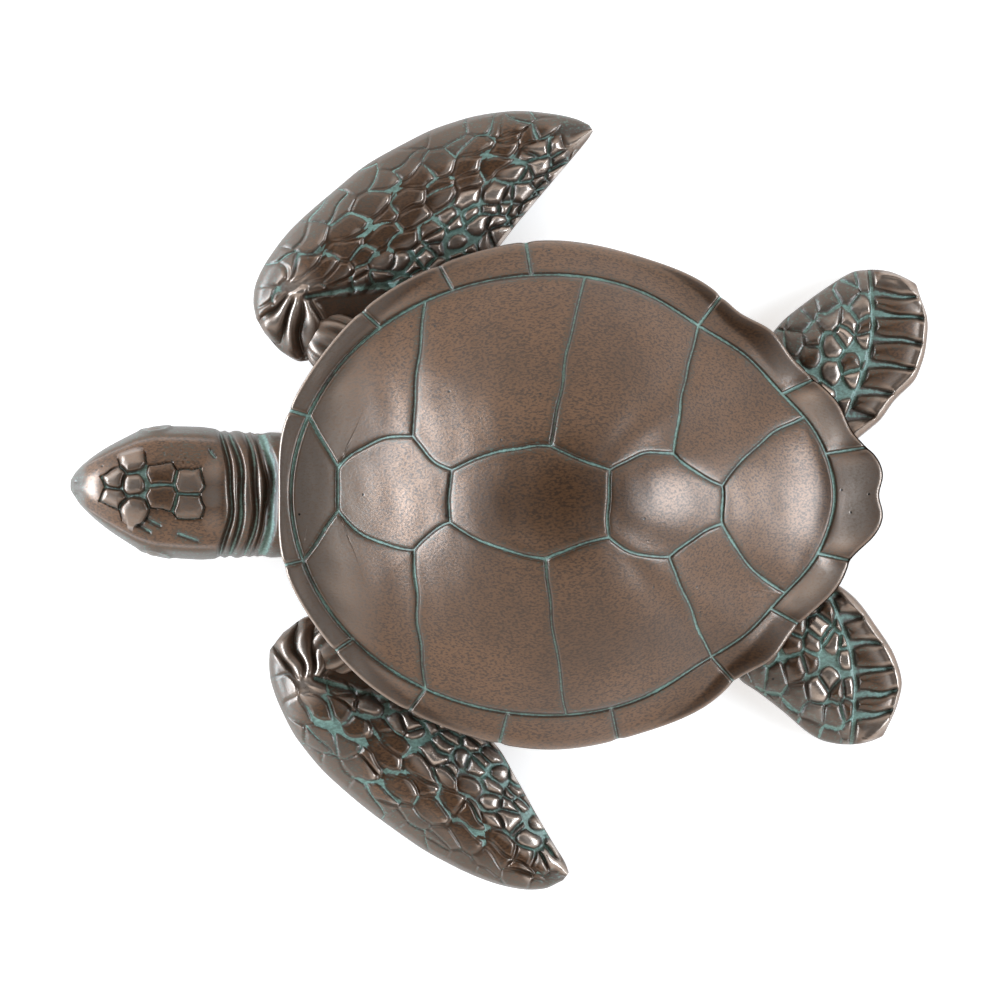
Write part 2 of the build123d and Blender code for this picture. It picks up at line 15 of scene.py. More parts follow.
import bmesh
import bpy
import numpy as np
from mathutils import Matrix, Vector


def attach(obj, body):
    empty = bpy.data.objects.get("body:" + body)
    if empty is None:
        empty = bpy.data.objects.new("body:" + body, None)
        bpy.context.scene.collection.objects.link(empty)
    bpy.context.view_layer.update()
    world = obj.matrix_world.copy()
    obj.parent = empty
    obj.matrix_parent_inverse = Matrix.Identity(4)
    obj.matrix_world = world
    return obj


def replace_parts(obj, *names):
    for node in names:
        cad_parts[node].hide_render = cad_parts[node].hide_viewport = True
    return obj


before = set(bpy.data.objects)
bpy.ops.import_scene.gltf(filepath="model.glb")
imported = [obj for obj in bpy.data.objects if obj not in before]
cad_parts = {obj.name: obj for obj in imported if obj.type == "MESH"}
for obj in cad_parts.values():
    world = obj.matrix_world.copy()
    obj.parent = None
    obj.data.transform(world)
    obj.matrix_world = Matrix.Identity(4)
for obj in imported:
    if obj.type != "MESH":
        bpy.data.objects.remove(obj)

LOG = logging.getLogger("turtle")
MILLIMETRE = 0.001
# Seam distance where no engraved line is near, in millimetres
FAR = 9.0
# Points handled at a time, which bounds the memory
CHUNK = 4000
# Plane waves in a ripple
WAVES = 7
# Edges shorter than this are dissolved, in metres
SLIVER = 1e-7

Array = np.ndarray
Values = np.ndarray | float
Trio = tuple[float, float, float]
Rgb = Trio
# Where a smooth step starts and where it ends
Band = tuple[float, float]
Pairs = tuple[tuple[float, float], ...]
Triples = tuple[Trio, ...]
Socket = bpy.types.NodeSocket


class Side(Enum):
    """The animal's sides, with the sign of X there."""

    RIGHT = -1
    LEFT = 1

    @property
    def label(self) -> str:
        """The word for this side in piece names."""
        return self.name.lower()


# Curves and small maths


def smoothstep(low: float, high: float, value: Array) -> Array:
    """Rise from 0 at low to 1 at high, with level ends.

    Args:
        low: Value where the rise starts.
        high: Value where it ends.
        value: Values to map.

    Returns:
        The mapped values: 3t^2 - 2t^3 of the clamped share t.
    """
    share = np.clip((value - low) / (high - low), 0.0, 1.0)
    return share * share * (3.0 - 2.0 * share)


def closed_spline(points: Array, samples: int) -> Array:
    """Smooth closed curve through points: the periodic cubic on their chord lengths.

    Args:
        points: Points to pass through, one per row.
        samples: How many points to return.

    Returns:
        Points spread evenly over the curve's parameter.
    """
    count = len(points)
    step = np.linalg.norm(np.roll(points, -1, 0) - points, axis=1)
    slope = (np.roll(points, -1, 0) - points) / step[:, None]
    before = np.roll(step, 1)
    matrix = np.diag(2 * (before + step))
    index = np.arange(count)
    matrix[index, index - 1] += before
    matrix[index, (index + 1) % count] += step
    bend = np.linalg.solve(matrix, 6 * (slope - np.roll(slope, 1, 0)))
    knots = np.concatenate(([0.0], np.cumsum(step)))
    at = np.linspace(0, knots[-1], samples, endpoint=False)
    i = np.clip(np.searchsorted(knots, at, side="right") - 1, 0, count - 1)
    j = (i + 1) % count
    h = step[i][:, None]
    a = (knots[i + 1] - at)[:, None]
    b = (at - knots[i])[:, None]
    cubic = (bend[i] * a**3 + bend[j] * b**3) / (6 * h)
    return cubic + (points[i] / h - bend[i] * h / 6) * a + (points[j] / h - bend[j] * h / 6) * b


def through(at: Array, stations: Array, values: Array) -> Array:
    """Smooth curve through stations that never overshoots them (monotone cubic).

    Args:
        at: Where to read it.
        stations: Rising stations.
        values: The value at each station.

    Returns:
        The curve's value at each place: Hermite cubics with harmonic-mean slopes.
    """
    step = np.diff(stations)
    slope = np.diff(values) / step
    both = slope[:-1] * slope[1:]
    inner = np.where(both > 0, 2 * both / np.where(both > 0, slope[:-1] + slope[1:], 1.0), 0.0)
    tangent = np.concatenate(([slope[0]], inner, [slope[-1]]))
    at = np.clip(at, stations[0], stations[-1])
    i = np.clip(np.searchsorted(stations, at, side="right") - 1, 0, len(step) - 1)
    t = (at - stations[i]) / step[i]
    rise = values[i] * (2 * t**3 - 3 * t**2 + 1) + values[i + 1] * (3 * t**2 - 2 * t**3)
    return rise + step[i] * (tangent[i] * (t**3 - 2 * t**2 + t) + tangent[i + 1] * (t**3 - t**2))


def ripple(x: Array, y: Array, wavelength: float, seed: int) -> Array:
    """Gentle irregularity of about -1 to 1: a sum of plane waves in fixed random directions.

    Args:
        x: First coordinate.
        y: Second coordinate.
        wavelength: Mean distance between crests.
        seed: Picks the directions and phases.

    Returns:
        The ripple at each point.
    """
    chance = np.random.default_rng(seed)
    angles, phases = chance.uniform(0, pi, WAVES), chance.uniform(0, 2 * pi, WAVES)
    total = np.zeros(np.broadcast(x, y).shape)
    for angle, phase, stretch in zip(angles, phases, chance.uniform(0.7, 1.4, WAVES)):
        total += np.sin(2 * pi * (x * np.cos(angle) + y * np.sin(angle)) / (wavelength * stretch) + phase)
    return total / (WAVES / 2)


def wavered(x: Array, y: Array, size: float, wavelength: float, seed: int) -> Array:
    """Plan points, each shifted both ways by a ripple of its own.

    Args:
        x: First coordinate.
        y: Second coordinate.
        size: How far they are shifted.
        wavelength: Mean distance between crests.
        seed: Picks the first ripple, and the next seed the second.

    Returns:
        The shifted points, shape (..., 2).
    """
    shift = [size * ripple(x, y, wavelength, seed + k) for k in (0, 1)]
    return np.stack((x + shift[0], y + shift[1]), -1)


def distance_to_line(points: Array, line: Array, closed: bool = False) -> Array:
    """Least distance from each point to a line of straight runs.

    Args:
        points: Points in the plan, shape (..., 2).
        line: Corners of the line, shape (m, 2).
        closed: Whether the last corner joins the first.

    Returns:
        Distances, shape (...).
    """
    shape, points = points.shape[:-1], points.reshape(-1, 2)
    start = line if closed else line[:-1]
    run = (np.roll(line, -1, 0) if closed else line[1:]) - start
    length = np.maximum((run**2).sum(1), 1e-12)
    least = np.full(len(points), np.inf)
    for low in range(0, len(points), CHUNK):
        part = points[low : low + CHUNK]
        away = part[:, None] - start[None]
        share = np.clip((away * run[None]).sum(2) / length, 0.0, 1.0)
        gap = away - share[..., None] * run[None]
        least[low : low + CHUNK] = np.sqrt((gap**2).sum(2).min(1))
    return least.reshape(shape)


def cells(points: Array, seeds: Array, sizes: Array) -> tuple[Array, Array, Array]:
    """Split a plane into one cell round each seed, wider round a seed with a larger size.

    Args:
        points: Points, shape (..., 2).
        seeds: Seeds, shape (m, 2).
        sizes: Radius in millimetres that a seed pushes its neighbours by.

    Returns:
        The distance to the nearest cell wall, the number of the seed that owns the point, and that of the
        seed on the other side of the wall.
    """
    shape, points = points.shape[:-1], points.reshape(-1, 2)
    edge = np.empty(len(points))
    owner = np.empty((2, len(points)), dtype=int)
    push = np.square(sizes)
    for low in range(0, len(points), CHUNK):
        part = points[low : low + CHUNK]
        far = ((part[:, None] - seeds[None]) ** 2).sum(2) - push
        order = np.argpartition(far, 1, axis=1)[:, :2]
        near = np.take_along_axis(far, order, 1)
        swap = near[:, 0] > near[:, 1]
        first = np.where(swap, order[:, 1], order[:, 0])
        second = np.where(swap, order[:, 0], order[:, 1])
        apart = np.linalg.norm(seeds[second] - seeds[first], axis=1)
        edge[low : low + CHUNK] = np.abs(near[:, 1] - near[:, 0]) / (2 * apart)
        owner[:, low : low + CHUNK] = first, second
    return edge.reshape(shape), owner[0].reshape(shape), owner[1].reshape(shape)


@dataclass
class Relief:
    """Carving at each point of a grid: what it adds to the height, and what the finish reads."""

    height: Array
    seam: Array
    wear_and_highlight: Array
    film: Array

    def lay(self, share: Array, height: Values, seam: Values, wear_and_highlight: Values, film: Values = 0.0) -> None:
        """Lay another carving over this one.

        Args:
            share: 0 keeps what is there and 1 replaces it.
            height: The new height.
            seam: The new seam distance.
            wear_and_highlight: The new handling marks and painted highlights.
            film: The new film.
        """
        for name, value in (("height", height), ("seam", seam), ("wear_and_highlight", wear_and_highlight), ("film", film)):
            setattr(self, name, getattr(self, name) * (1 - share) + share * value)

    def cut(self, depth: Array, seam: Array) -> None:
        """Lower the carving by a depth, and take the new seam distance where it is less."""
        self.height = self.height - depth
        self.seam = np.minimum(self.seam, seam)

    def topside(self, share: Array) -> None:
        """Let the carving fade out towards a casting's underside.

        Args:
            share: 1 where it stays and 0 where it is gone.
        """
        self.height = self.height * share
        self.seam = self.seam * share + FAR * (1 - share)
        self.wear_and_highlight = self.wear_and_highlight * share

    def capped(self) -> "Relief":
        """The carving with its first and last rows doubled, for the closing caps."""
        rows = (self.height, self.seam, self.wear_and_highlight, self.film)
        return Relief(*(np.concatenate((row[:1], row, row[-1:])) for row in rows))


def closed_ends(grid: Array) -> Array:
    """A grid of sections with both ends drawn together to a point."""
    caps = np.broadcast_to(grid[[0, -1]].mean(1, keepdims=True), (2, *grid.shape[1:]))
    return np.concatenate((caps[:1], grid, caps[1:]))


def bell(distance: Array, reach: Values) -> Array:
    """A bell that falls from 1 at 0 to about a third at the reach."""
    return np.exp(-((distance / reach) ** 2))


def quarter_round(edge: Array, low: float, run: float) -> Array:
    """The rise of a quarter circle, from 0 at low to 1 after the run."""
    return np.sqrt(1 - (1 - np.clip((edge - low) / run, 0, 1)) ** 2)


# Meshes


@dataclass
class Surface:
    """Patches of one casting, gathered before they become a mesh.

    Each patch is a grid of points in millimetres with its seam distance, handling marks with painted highlights,
    and film.
    """

    points: list[Array] = field(default_factory=list)
    faces: list[Array] = field(default_factory=list)
    seam: list[Array] = field(default_factory=list)
    wear_and_highlight: list[Array] = field(default_factory=list)
    film: list[Array] = field(default_factory=list)
    count: int = 0

    def add_grid(self, grid: Array, seam: Values, wear_and_highlight: Values, film: Values = 0.0, flip: bool = False) -> None:
        """Add a grid of points, shape (rows, columns, 3), as quads; its last column joins the first.

        Args:
            grid: The points in millimetres.
            seam: Seam distance at each point.
            wear_and_highlight: Handling marks and painted highlights at each point.
            film: Grey film at each point.
            flip: Whether to turn the faces over.
        """
        rows, columns = grid.shape[:2]
        number = np.arange(rows * columns).reshape(rows, columns) + self.count
        number = np.concatenate((number, number[:, :1]), axis=1)
        corners = (number[:-1, :-1], number[:-1, 1:], number[1:, 1:], number[1:, :-1])
        quads = np.stack(corners, axis=-1).reshape(-1, 4)
        self.faces.append(quads[:, ::-1] if flip else quads)
        self.points.append(grid.reshape(-1, 3))
        for kept, value in ((self.seam, seam), (self.wear_and_highlight, wear_and_highlight), (self.film, film)):
            kept.append(np.broadcast_to(value, grid.shape[:2]).reshape(-1))
        self.count += rows * columns

    def add_carved(self, grid: Array, relief: Relief) -> None:
        """Add carved sections as one body, with both ends drawn together to a point."""
        ends = relief.capped()
        self.add_grid(closed_ends(grid), ends.seam, ends.wear_and_highlight, ends.film)

    def build(self, name: str, weld: float = 0.002) -> bpy.types.Object:
        """Make the mesh object: all patches, welded where they meet, with smooth shading.

        Args:
            name: The piece's name.
            weld: Distance in millimetres within which points are merged.

        Returns:
            The new object, linked to the scene.
        """
        points = np.concatenate(self.points) * MILLIMETRE
        faces = np.concatenate(self.faces)
        mesh = bpy.data.meshes.new(name)
        mesh.vertices.add(len(points))
        mesh.vertices.foreach_set("co", points.astype(np.float32).ravel())
        mesh.loops.add(faces.size)
        mesh.loops.foreach_set("vertex_index", faces.astype(np.int32).ravel())
        mesh.polygons.add(len(faces))
        mesh.polygons.foreach_set("loop_start", np.arange(0, faces.size, 4, dtype=np.int32))
        mesh.update(calc_edges=True)
        for label, values in (("seam_distance", self.seam), ("wear_and_highlight", self.wear_and_highlight), ("film", self.film)):
            layer = mesh.attributes.new(label, "FLOAT", "POINT")
            layer.data.foreach_set("value", np.concatenate(values).astype(np.float32))
        welded = bmesh.new()
        welded.from_mesh(mesh)
        bmesh.ops.remove_doubles(welded, verts=welded.verts, dist=weld * MILLIMETRE)
        bmesh.ops.dissolve_degenerate(welded, edges=welded.edges, dist=SLIVER)
        bmesh.ops.recalc_face_normals(welded, faces=welded.faces)
        welded.to_mesh(mesh)
        welded.free()
        mesh.shade_smooth()
        piece = bpy.data.objects.new(name, mesh)
        bpy.context.scene.collection.objects.link(piece)
        return piece


# The shell's plan and dome, which all castings share


@dataclass
class ShellPlan:
    """The carapace's plan and dome. Heights include the felt that the figurine stands on."""

    length: float = 211.0
    width: float = 178.0
    front: float = 105.0
    apex: float = 74.0
    centre_y: float = -5.0
    rim_thickness: float = 6.0
    crease: float = 0.03
    end_power: float = 1.6
    side_ease: float = 0.5
    samples: int = 2880
    rim_line: Pairs = (
        (-126.0, 39.5), (-105.0, 35.0), (-58.6, 25.0), (11.0, 17.5), (106.0, 18.5), (127.0, 18.5),
    )
    rim_half: Pairs = (
        (0.0, 0.0), (0.236, 0.005), (0.517, 0.062), (0.742, 0.147), (0.921, 0.284), (1.0, 0.460),
        (0.927, 0.611), (0.792, 0.727), (0.713, 0.765), (0.646, 0.815), (0.545, 0.848), (0.472, 0.879),
        (0.339, 0.932), (0.242, 0.952), (0.169, 0.983), (0.067, 1.0), (0.0, 0.994),
    )
    ring_half: Pairs = (
        (0.0, 0.021), (0.281, 0.045), (0.551, 0.118), (0.758, 0.242), (0.860, 0.431), (0.775, 0.616),
        (0.652, 0.701), (0.545, 0.772), (0.404, 0.829), (0.281, 0.877), (0.124, 0.910), (0.0, 0.919),
    )

    def __post_init__(self) -> None:
        """Read both outlines as radius by angle round the dome's centre."""
        self.rim_polar = self.polar(self.rim_half)
        self.ring_polar = self.polar(self.ring_half)

    def plan_point(self, across: float, along: float) -> Array:
        """A point of the plan from its shares of the half width and the length."""
        return np.array((across * self.width / 2, along * self.length - self.front))

    def polar(self, half: Pairs) -> tuple[Array, Array]:
        """Radius by signed angle from the front, positive to the left, of a half outline and its mirror.

        Args:
            half: Shares of the half width and length, front to back.

        Returns:
            Sorted angles, and the radius at each.
        """
        left = np.array([self.plan_point(*share) for share in half])
        right = left[-2:0:-1] * (-1, 1)
        curve = closed_spline(np.concatenate((left, right)), self.samples)
        angle = np.arctan2(curve[:, 0], self.centre_y - curve[:, 1])
        order = np.argsort(angle)
        return angle[order], np.hypot(curve[:, 0], curve[:, 1] - self.centre_y)[order]

    def radius(self, outline: tuple[Array, Array], angle: Array) -> Array:
        """An outline's radius at angles in radians."""
        return np.interp(angle, *outline, period=2 * pi)

    def at(self, angle: Array, radius: Array) -> Array:
        """Plan points at an angle from the front and a radius from the dome's centre."""
        return np.stack((radius * np.sin(angle), self.centre_y - radius * np.cos(angle)), axis=-1)

    def rim_underside(self, y: Array) -> Array:
        """Height of the rim's underside at a station."""
        line = np.array(self.rim_line)
        return through(y, line[:, 0], line[:, 1])

    def height(self, x: Array, y: Array) -> Array:
        """Height of the carapace's outside.

        It is the margin's height plus the rise to the apex times a power of 1 - (radius / base)^2: the
        base runs along the ring at the ends and along the rim at the sides, and the power is higher at
        the ends, so that the dome flares out there.

        Args:
            x: Across, in millimetres.
            y: Along, in millimetres.

        Returns:
            Heights over the table.
        """
        angle = np.arctan2(x, self.centre_y - y)
        sideways = np.sin(angle) ** 2
        ring = self.radius(self.ring_polar, angle)
        base = ring + (self.radius(self.rim_polar, angle) - ring) * sideways
        inside = 1 - (np.hypot(x, y - self.centre_y) / base) ** 2
        inside = (inside + np.sqrt(inside**2 + self.crease**2)) / 2
        margin = self.rim_underside(y) + self.rim_thickness
        return margin + (self.apex - margin) * inside ** (self.end_power - self.side_ease * sideways)


# Castings


@dataclass
class Carapace:
    """The upper shell: thirteen scutes inside the ring seam, and a margin of fifteen round it."""

    plan: ShellPlan
    seam_depth: float = 0.9
    seam_half_width: float = 0.70
    crown: float = 0.4
    spacing: float = 0.8
    wobble: float = 0.45
    wobble_length: float = 17.0
    rim_round: float = 1.3
    rim_nick: float = 0.4
    rear_slope: float = 4.2
    # How much lighter the front rows are painted: painted light from the front
    front_painted_light: float = 0.55
    front_rows: Band = (-66.0, -90.0)
    clear_of_seam: Band = (0.8, 2.5)
    front_turn: Band = (58.0, 36.0)
    rear_turn: Band = (138.0, 158.0)
    keel_right: Pairs = (
        (-0.107, 0.099), (-0.228, 0.222), (-0.096, 0.286), (-0.188, 0.447),
        (-0.096, 0.544), (-0.160, 0.648), (-0.036, 0.729),
    )
    keel_left: Pairs = (
        (0.062, 0.099), (0.213, 0.224), (0.106, 0.283), (0.246, 0.439),
        (0.163, 0.542), (0.239, 0.641), (0.111, 0.729),
    )
    keel_bows: tuple[float, ...] = (0.12, -0.08, 0.06, -0.02, 0.10, -0.05, 0.08)
    ring_right: tuple[float, ...] = (17, 54, 95, 128, 162)
    ring_left: tuple[float, ...] = (14, 54, 90, 132, 156)
    margin_right: tuple[float, ...] = (17, 42, 61, 81, 128, 155, 171)
    margin_left: tuple[float, ...] = (14, 34, 54, 75, 102, 132, 151, 167)
    joined_to: tuple[int, ...] = (0, 1, 3, 5, 6)
    seam_rows: tuple[float, ...] = (0.0, 0.3, 0.55, 0.8, 1.05, 1.4, 2.0, 3.0)

    def __post_init__(self) -> None:
        """Place the ring's points, which scutes and margin share."""
        self.angles = self.ring_angles()

    def ring_angles(self) -> Array:
        """Angles of the ring's points, closer together where seams meet it.

        Returns:
            Rising angles over the whole turn, from the rear round the front to the rear.
        """
        stops = [-a for a in self.ring_right + self.margin_right] + list(self.ring_left + self.margin_left)
        near = np.array((0.0, 0.3, 0.6, 0.9, 1.25, 1.8)) / 80.0
        clusters = [np.radians(stop) + sign * near for stop in stops for sign in (-1, 1)]
        even = np.linspace(-pi, pi, 620, endpoint=False)
        angles = np.unique(np.round(np.concatenate([even, *clusters]), 6))
        exact = np.radians(np.unique(stops))
        keep = np.abs(angles[:, None] - exact[None]).min(1) > 1e-4
        return np.sort(np.concatenate((angles[keep], exact)))

    def ring_run(self, low: float, high: float) -> Array:
        """The ring's points between two angles.

        Args:
            low: First angle in degrees.
            high: Last angle in degrees, which may pass the rear.

        Returns:
            Plan points, both ends included.
        """
        turn = np.concatenate((self.angles, self.angles + 2 * pi))
        picked = turn[(turn >= np.radians(low) - 1e-9) & (turn <= np.radians(high) + 1e-9)]
        return self.plan.at(picked, self.plan.radius(self.plan.ring_polar, picked))

    def seam(self, start: Array, end: Array, bow: float, seed: int) -> Array:
        """A seam between two junctions: a shallow arc with a little of the carver's wobble.

        Args:
            start: First junction.
            end: Second junction.
            bow: Sideways bow, as a share of the chord.
            seed: Picks the wobble.

        Returns:
            Points along the seam, the junctions included.
        """
        chord = end - start
        length = np.linalg.norm(chord)
        share = np.linspace(0, 1, max(4, int(length / self.spacing)))
        aside = np.array((chord[1], -chord[0])) / length
        swing = bow * length * 4 * share * (1 - share)
        waver = self.wobble * ripple(share * length, 0 * share, self.wobble_length, seed)
        swing = swing + waver * np.sin(pi * share) ** 0.7
        return start + share[:, None] * chord + swing[:, None] * aside

    def scute_loops(self) -> dict[str, Array]:
        """The closed outline of each scute inside the ring.

        Returns:
            Outlines by the scute's name, each walked round once.
        """
        keel: dict[Side, list[Array]] = {}
        chain: dict[Side, list[Array]] = {}
        rib: dict[Side, list[Array]] = {}
        ends = {Side.RIGHT: self.ring_right, Side.LEFT: self.ring_left}
        for side, shares in ((Side.RIGHT, self.keel_right), (Side.LEFT, self.keel_left)):
            points = [self.plan.plan_point(*share) for share in shares]
            rims = [self.ring_run(side.value * a, side.value * a)[0] for a in ends[side]]
            stops = points + [rims[-1]]
            keel[side] = points
            chain[side] = [
                self.seam(a, b, side.value * bow, 10 * i + side.value + 1)
                for i, (a, b, bow) in enumerate(zip(stops, stops[1:], self.keel_bows))
            ]
            rib[side] = [
                self.seam(points[j], rims[i], 0.012 * side.value, 100 + 10 * i + side.value + 1)
                for i, j in enumerate(self.joined_to[:-1])
            ]
        right, left = Side.RIGHT, Side.LEFT
        cross = {i: self.seam(keel[right][i], keel[left][i], 0.02, 200 + i) for i in (0, 2, 4, 6)}
        loops: dict[str, list[Array]] = {}
        front = self.ring_run(-self.ring_right[0], self.ring_left[0])
        loops["nuchal"] = [front, rib[left][0][::-1], cross[0][::-1], rib[right][0]]
        for name, i in (("vertebral_1", 0), ("vertebral_2", 2), ("vertebral_3", 4)):
            loops[name] = [
                cross[i], chain[left][i], chain[left][i + 1], cross[i + 2][::-1],
                chain[right][i + 1][::-1], chain[right][i][::-1],
            ]
        rear = self.ring_run(self.ring_left[-1], 360 - self.ring_right[-1])
        loops["vertebral_5"] = [cross[6], chain[left][6], rear, chain[right][6][::-1]]
        links = {1: (0,), 2: (1, 2), 3: (3, 4), 4: (5, 6)}
        for side in Side:
            sign = side.value
            for i, used in links.items():
                low, high = sorted((sign * ends[side][i - 1], sign * ends[side][i]))
                edge = self.ring_run(low, high)
                edge = edge[::-1] if sign > 0 else edge
                path = [chain[side][k] for k in used]
                path += [rib[side][i]] if i < 4 else []
                loops[f"costal_{i}_{side.label}"] = [*path, edge, rib[side][i - 1][::-1]]
        return {name: np.concatenate([run[:-1] for run in runs]) for name, runs in loops.items()}

    def engraved(self, distance: Array) -> Array:
        """Height of a scute over the plain dome.

        The floor of the seam lies seam_depth down and rises over its half width, a faint lip stands beside
        it, and the scute then crowns slowly towards its middle.

        Args:
            distance: Distance to the scute's own edge.

        Returns:
            Heights, below 0 in the seam.
        """
        wall = smoothstep(0.25 * self.seam_half_width, 1.35 * self.seam_half_width, distance)
        lip = 0.05 * bell(distance - 1.9, 0.7)
        return -self.seam_depth * (1 - wall) + lip + self.crown * (1 - np.exp(-distance / 8.0))

    def lifted(self, flat: Array, distance: Array) -> Array:
        """Plan points raised on to the dome, with the engraving and the casting's slight unevenness.

        Args:
            flat: Plan points, shape (..., 2).
            distance: Their distance to the nearest seam.

        Returns:
            Points, shape (..., 3).
        """
        x, y = flat[..., 0], flat[..., 1]
        uneven = 0.16 * ripple(x, y, 34.0, 3) + 0.06 * ripple(x, y, 11.0, 4)
        fade = smoothstep(0.0, 4.0, distance)
        z = self.plan.height(x, y) + self.engraved(distance) + uneven * fade
        return np.stack((x, y, z), axis=-1)

    def scute(self, loop: Array) -> tuple[Array, Array]:
        """One scute as rings that run from its edge in to its centre.

        Args:
            loop: The scute's closed outline.

        Returns:
            Raised points, shape (rings, corners, 3), and their distance to the outline.
        """
        after, before = np.roll(loop, -1, 0), np.roll(loop, 1, 0)
        area = loop[:, 0] * after[:, 1] - after[:, 0] * loop[:, 1]
        centre = ((loop + after) * area[:, None]).sum(0) / (3 * area.sum())
        ray = loop - centre
        reach = np.linalg.norm(ray, axis=1)
        tangent = after - before
        tangent /= np.maximum(np.linalg.norm(tangent, axis=1), 1e-9)[:, None]
        slant = np.abs(ray[:, 0] * tangent[:, 1] - ray[:, 1] * tangent[:, 0]) / reach
        depth = np.array((*self.seam_rows, 4.5))
        inward = depth[:, None] / np.clip(slant, 0.35, 1.0)
        inward = inward * np.minimum(1.0, 0.75 * reach / inward[-1])
        outer = 1 - inward / reach
        inner = outer[-1] * np.linspace(1, 0, 17)[1:, None]
        share = np.concatenate((outer, inner))
        flat = centre + share[..., None] * ray
        distance = distance_to_line(flat, loop, closed=True)
        return self.lifted(flat, distance), distance

    def build_scutes(self) -> bpy.types.Object:
        """The dome inside the ring seam, with painted light that makes its front rows lighter.

        Returns:
            The new piece.
        """
        surface = Surface()
        for loop in self.scute_loops().values():
            points, distance = self.scute(loop)
            # Painted light: the front rows are painted lighter, clear of the seams
            front = smoothstep(*self.front_rows, points[..., 1])
            surface.add_grid(points, distance, self.front_painted_light * front * smoothstep(*self.clear_of_seam, distance))
        return surface.build("carapace_scutes")

    def margin_underside(self, ring: Array, rim: Array) -> Array:
        """The rim's edge and the margin's underside, in to the body's side.

        Args:
            ring: The ring's radius at each angle.
            rim: The rim's radius at each angle.

        Returns:
            Points, shape (rows, angles, 3).
        """
        inset = np.array((0.0, 0.25, 0.9, 2.0, 5.0))[:, None]
        lift = np.array((1.8, 0.8, 0.2, 0.0, 0.0, 0.05))[:, None]
        radius = np.concatenate((rim - inset, np.maximum(ring - 5.5, 1.0)[None]))
        flat = self.plan.at(np.broadcast_to(self.angles, radius.shape), radius)
        z = self.plan.rim_underside(flat[..., 1]) + lift
        return np.concatenate((flat, z[..., None]), axis=-1)

    def build_margin(self) -> bpy.types.Object:
        """The margin from the ring seam over the rim and in under it, to the body's side.

        Rows run outwards at shares of the way from ring to rim, then round the rim's edge and back along
        its underside. The rim is nicked a little at each seam. Each rear margin scute carries a painted highlight
        in its middle, and the front margin painted light.

        Returns:
            The new piece.
        """
        plan, angles = self.plan, self.angles
        stops = np.radians([-a for a in self.margin_right] + list(self.margin_left))
        turn = np.abs((angles[:, None] - stops[None] + pi) % (2 * pi) - pi).min(1)
        ring = plan.radius(plan.ring_polar, angles)
        rim = plan.radius(plan.rim_polar, angles) - self.rim_nick * bell(turn * 90, 1.8)
        width = rim - ring
        tight = np.minimum(1.0, width / 9.0)
        rows = np.array(self.seam_rows)[:, None] * tight
        left_over = np.array((3.6, 2.4, 1.7, 1.1, 0.65, 0.3, 0.1, 0.0))[:, None] * tight
        middle = np.linspace(0, 1, 9)[1:-1, None] * (width - rows[-1] - left_over[0]) + rows[-1]
        out = np.concatenate((rows, middle, width - left_over))
        radius = ring + out
        across = turn * radius
        distance = np.minimum(out, across)
        top = self.lifted(plan.at(np.broadcast_to(angles, radius.shape), radius), distance)
        rear = smoothstep(*np.radians(self.rear_turn), np.abs(angles))
        along = np.clip(out / width, 0, 1)
        pillow = smoothstep(0.0, 6.0, across) * np.sin(pi * along)
        top[..., 2] -= rear * (self.rear_slope * along * (2 - along) - 0.5 * pillow)
        edge = np.clip((self.rim_round - (width - out)) / self.rim_round, 0, 1)
        top[..., 2] -= self.rim_round * (1 - np.sqrt(1 - edge**2))
        under = self.margin_underside(ring, rim)
        # Painted light: the front margin is painted lighter, clear of the seams
        front = smoothstep(*np.radians(self.front_turn), np.abs(angles))
        front = front * smoothstep(*self.clear_of_seam, distance)
        # Paler along the rim's edge from handling, a painted highlight in the middle of each rear margin scute,
        # and painted light at the front
        rubbed_and_highlight = 0.2 * smoothstep(4.0, 0.5, width - out) + 0.6 * rear * pillow + 0.42 * front
        surface = Surface()
        surface.add_grid(
            np.concatenate((top, under)),
            np.concatenate((distance, np.full(under.shape[:2], FAR))),
            np.concatenate((rubbed_and_highlight, np.zeros(under.shape[:2]))),
            flip=True,
        )
        return surface.build("carapace_margin")

    def build(self) -> list[bpy.types.Object]:
        """Both halves of the carapace.

        Returns:
            The dome, which stands for the whole casting, and its margin.
        """
        scutes = self.build_scutes()
        margin = self.build_margin()
        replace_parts(scutes, "carapace")
        return [scutes, margin]


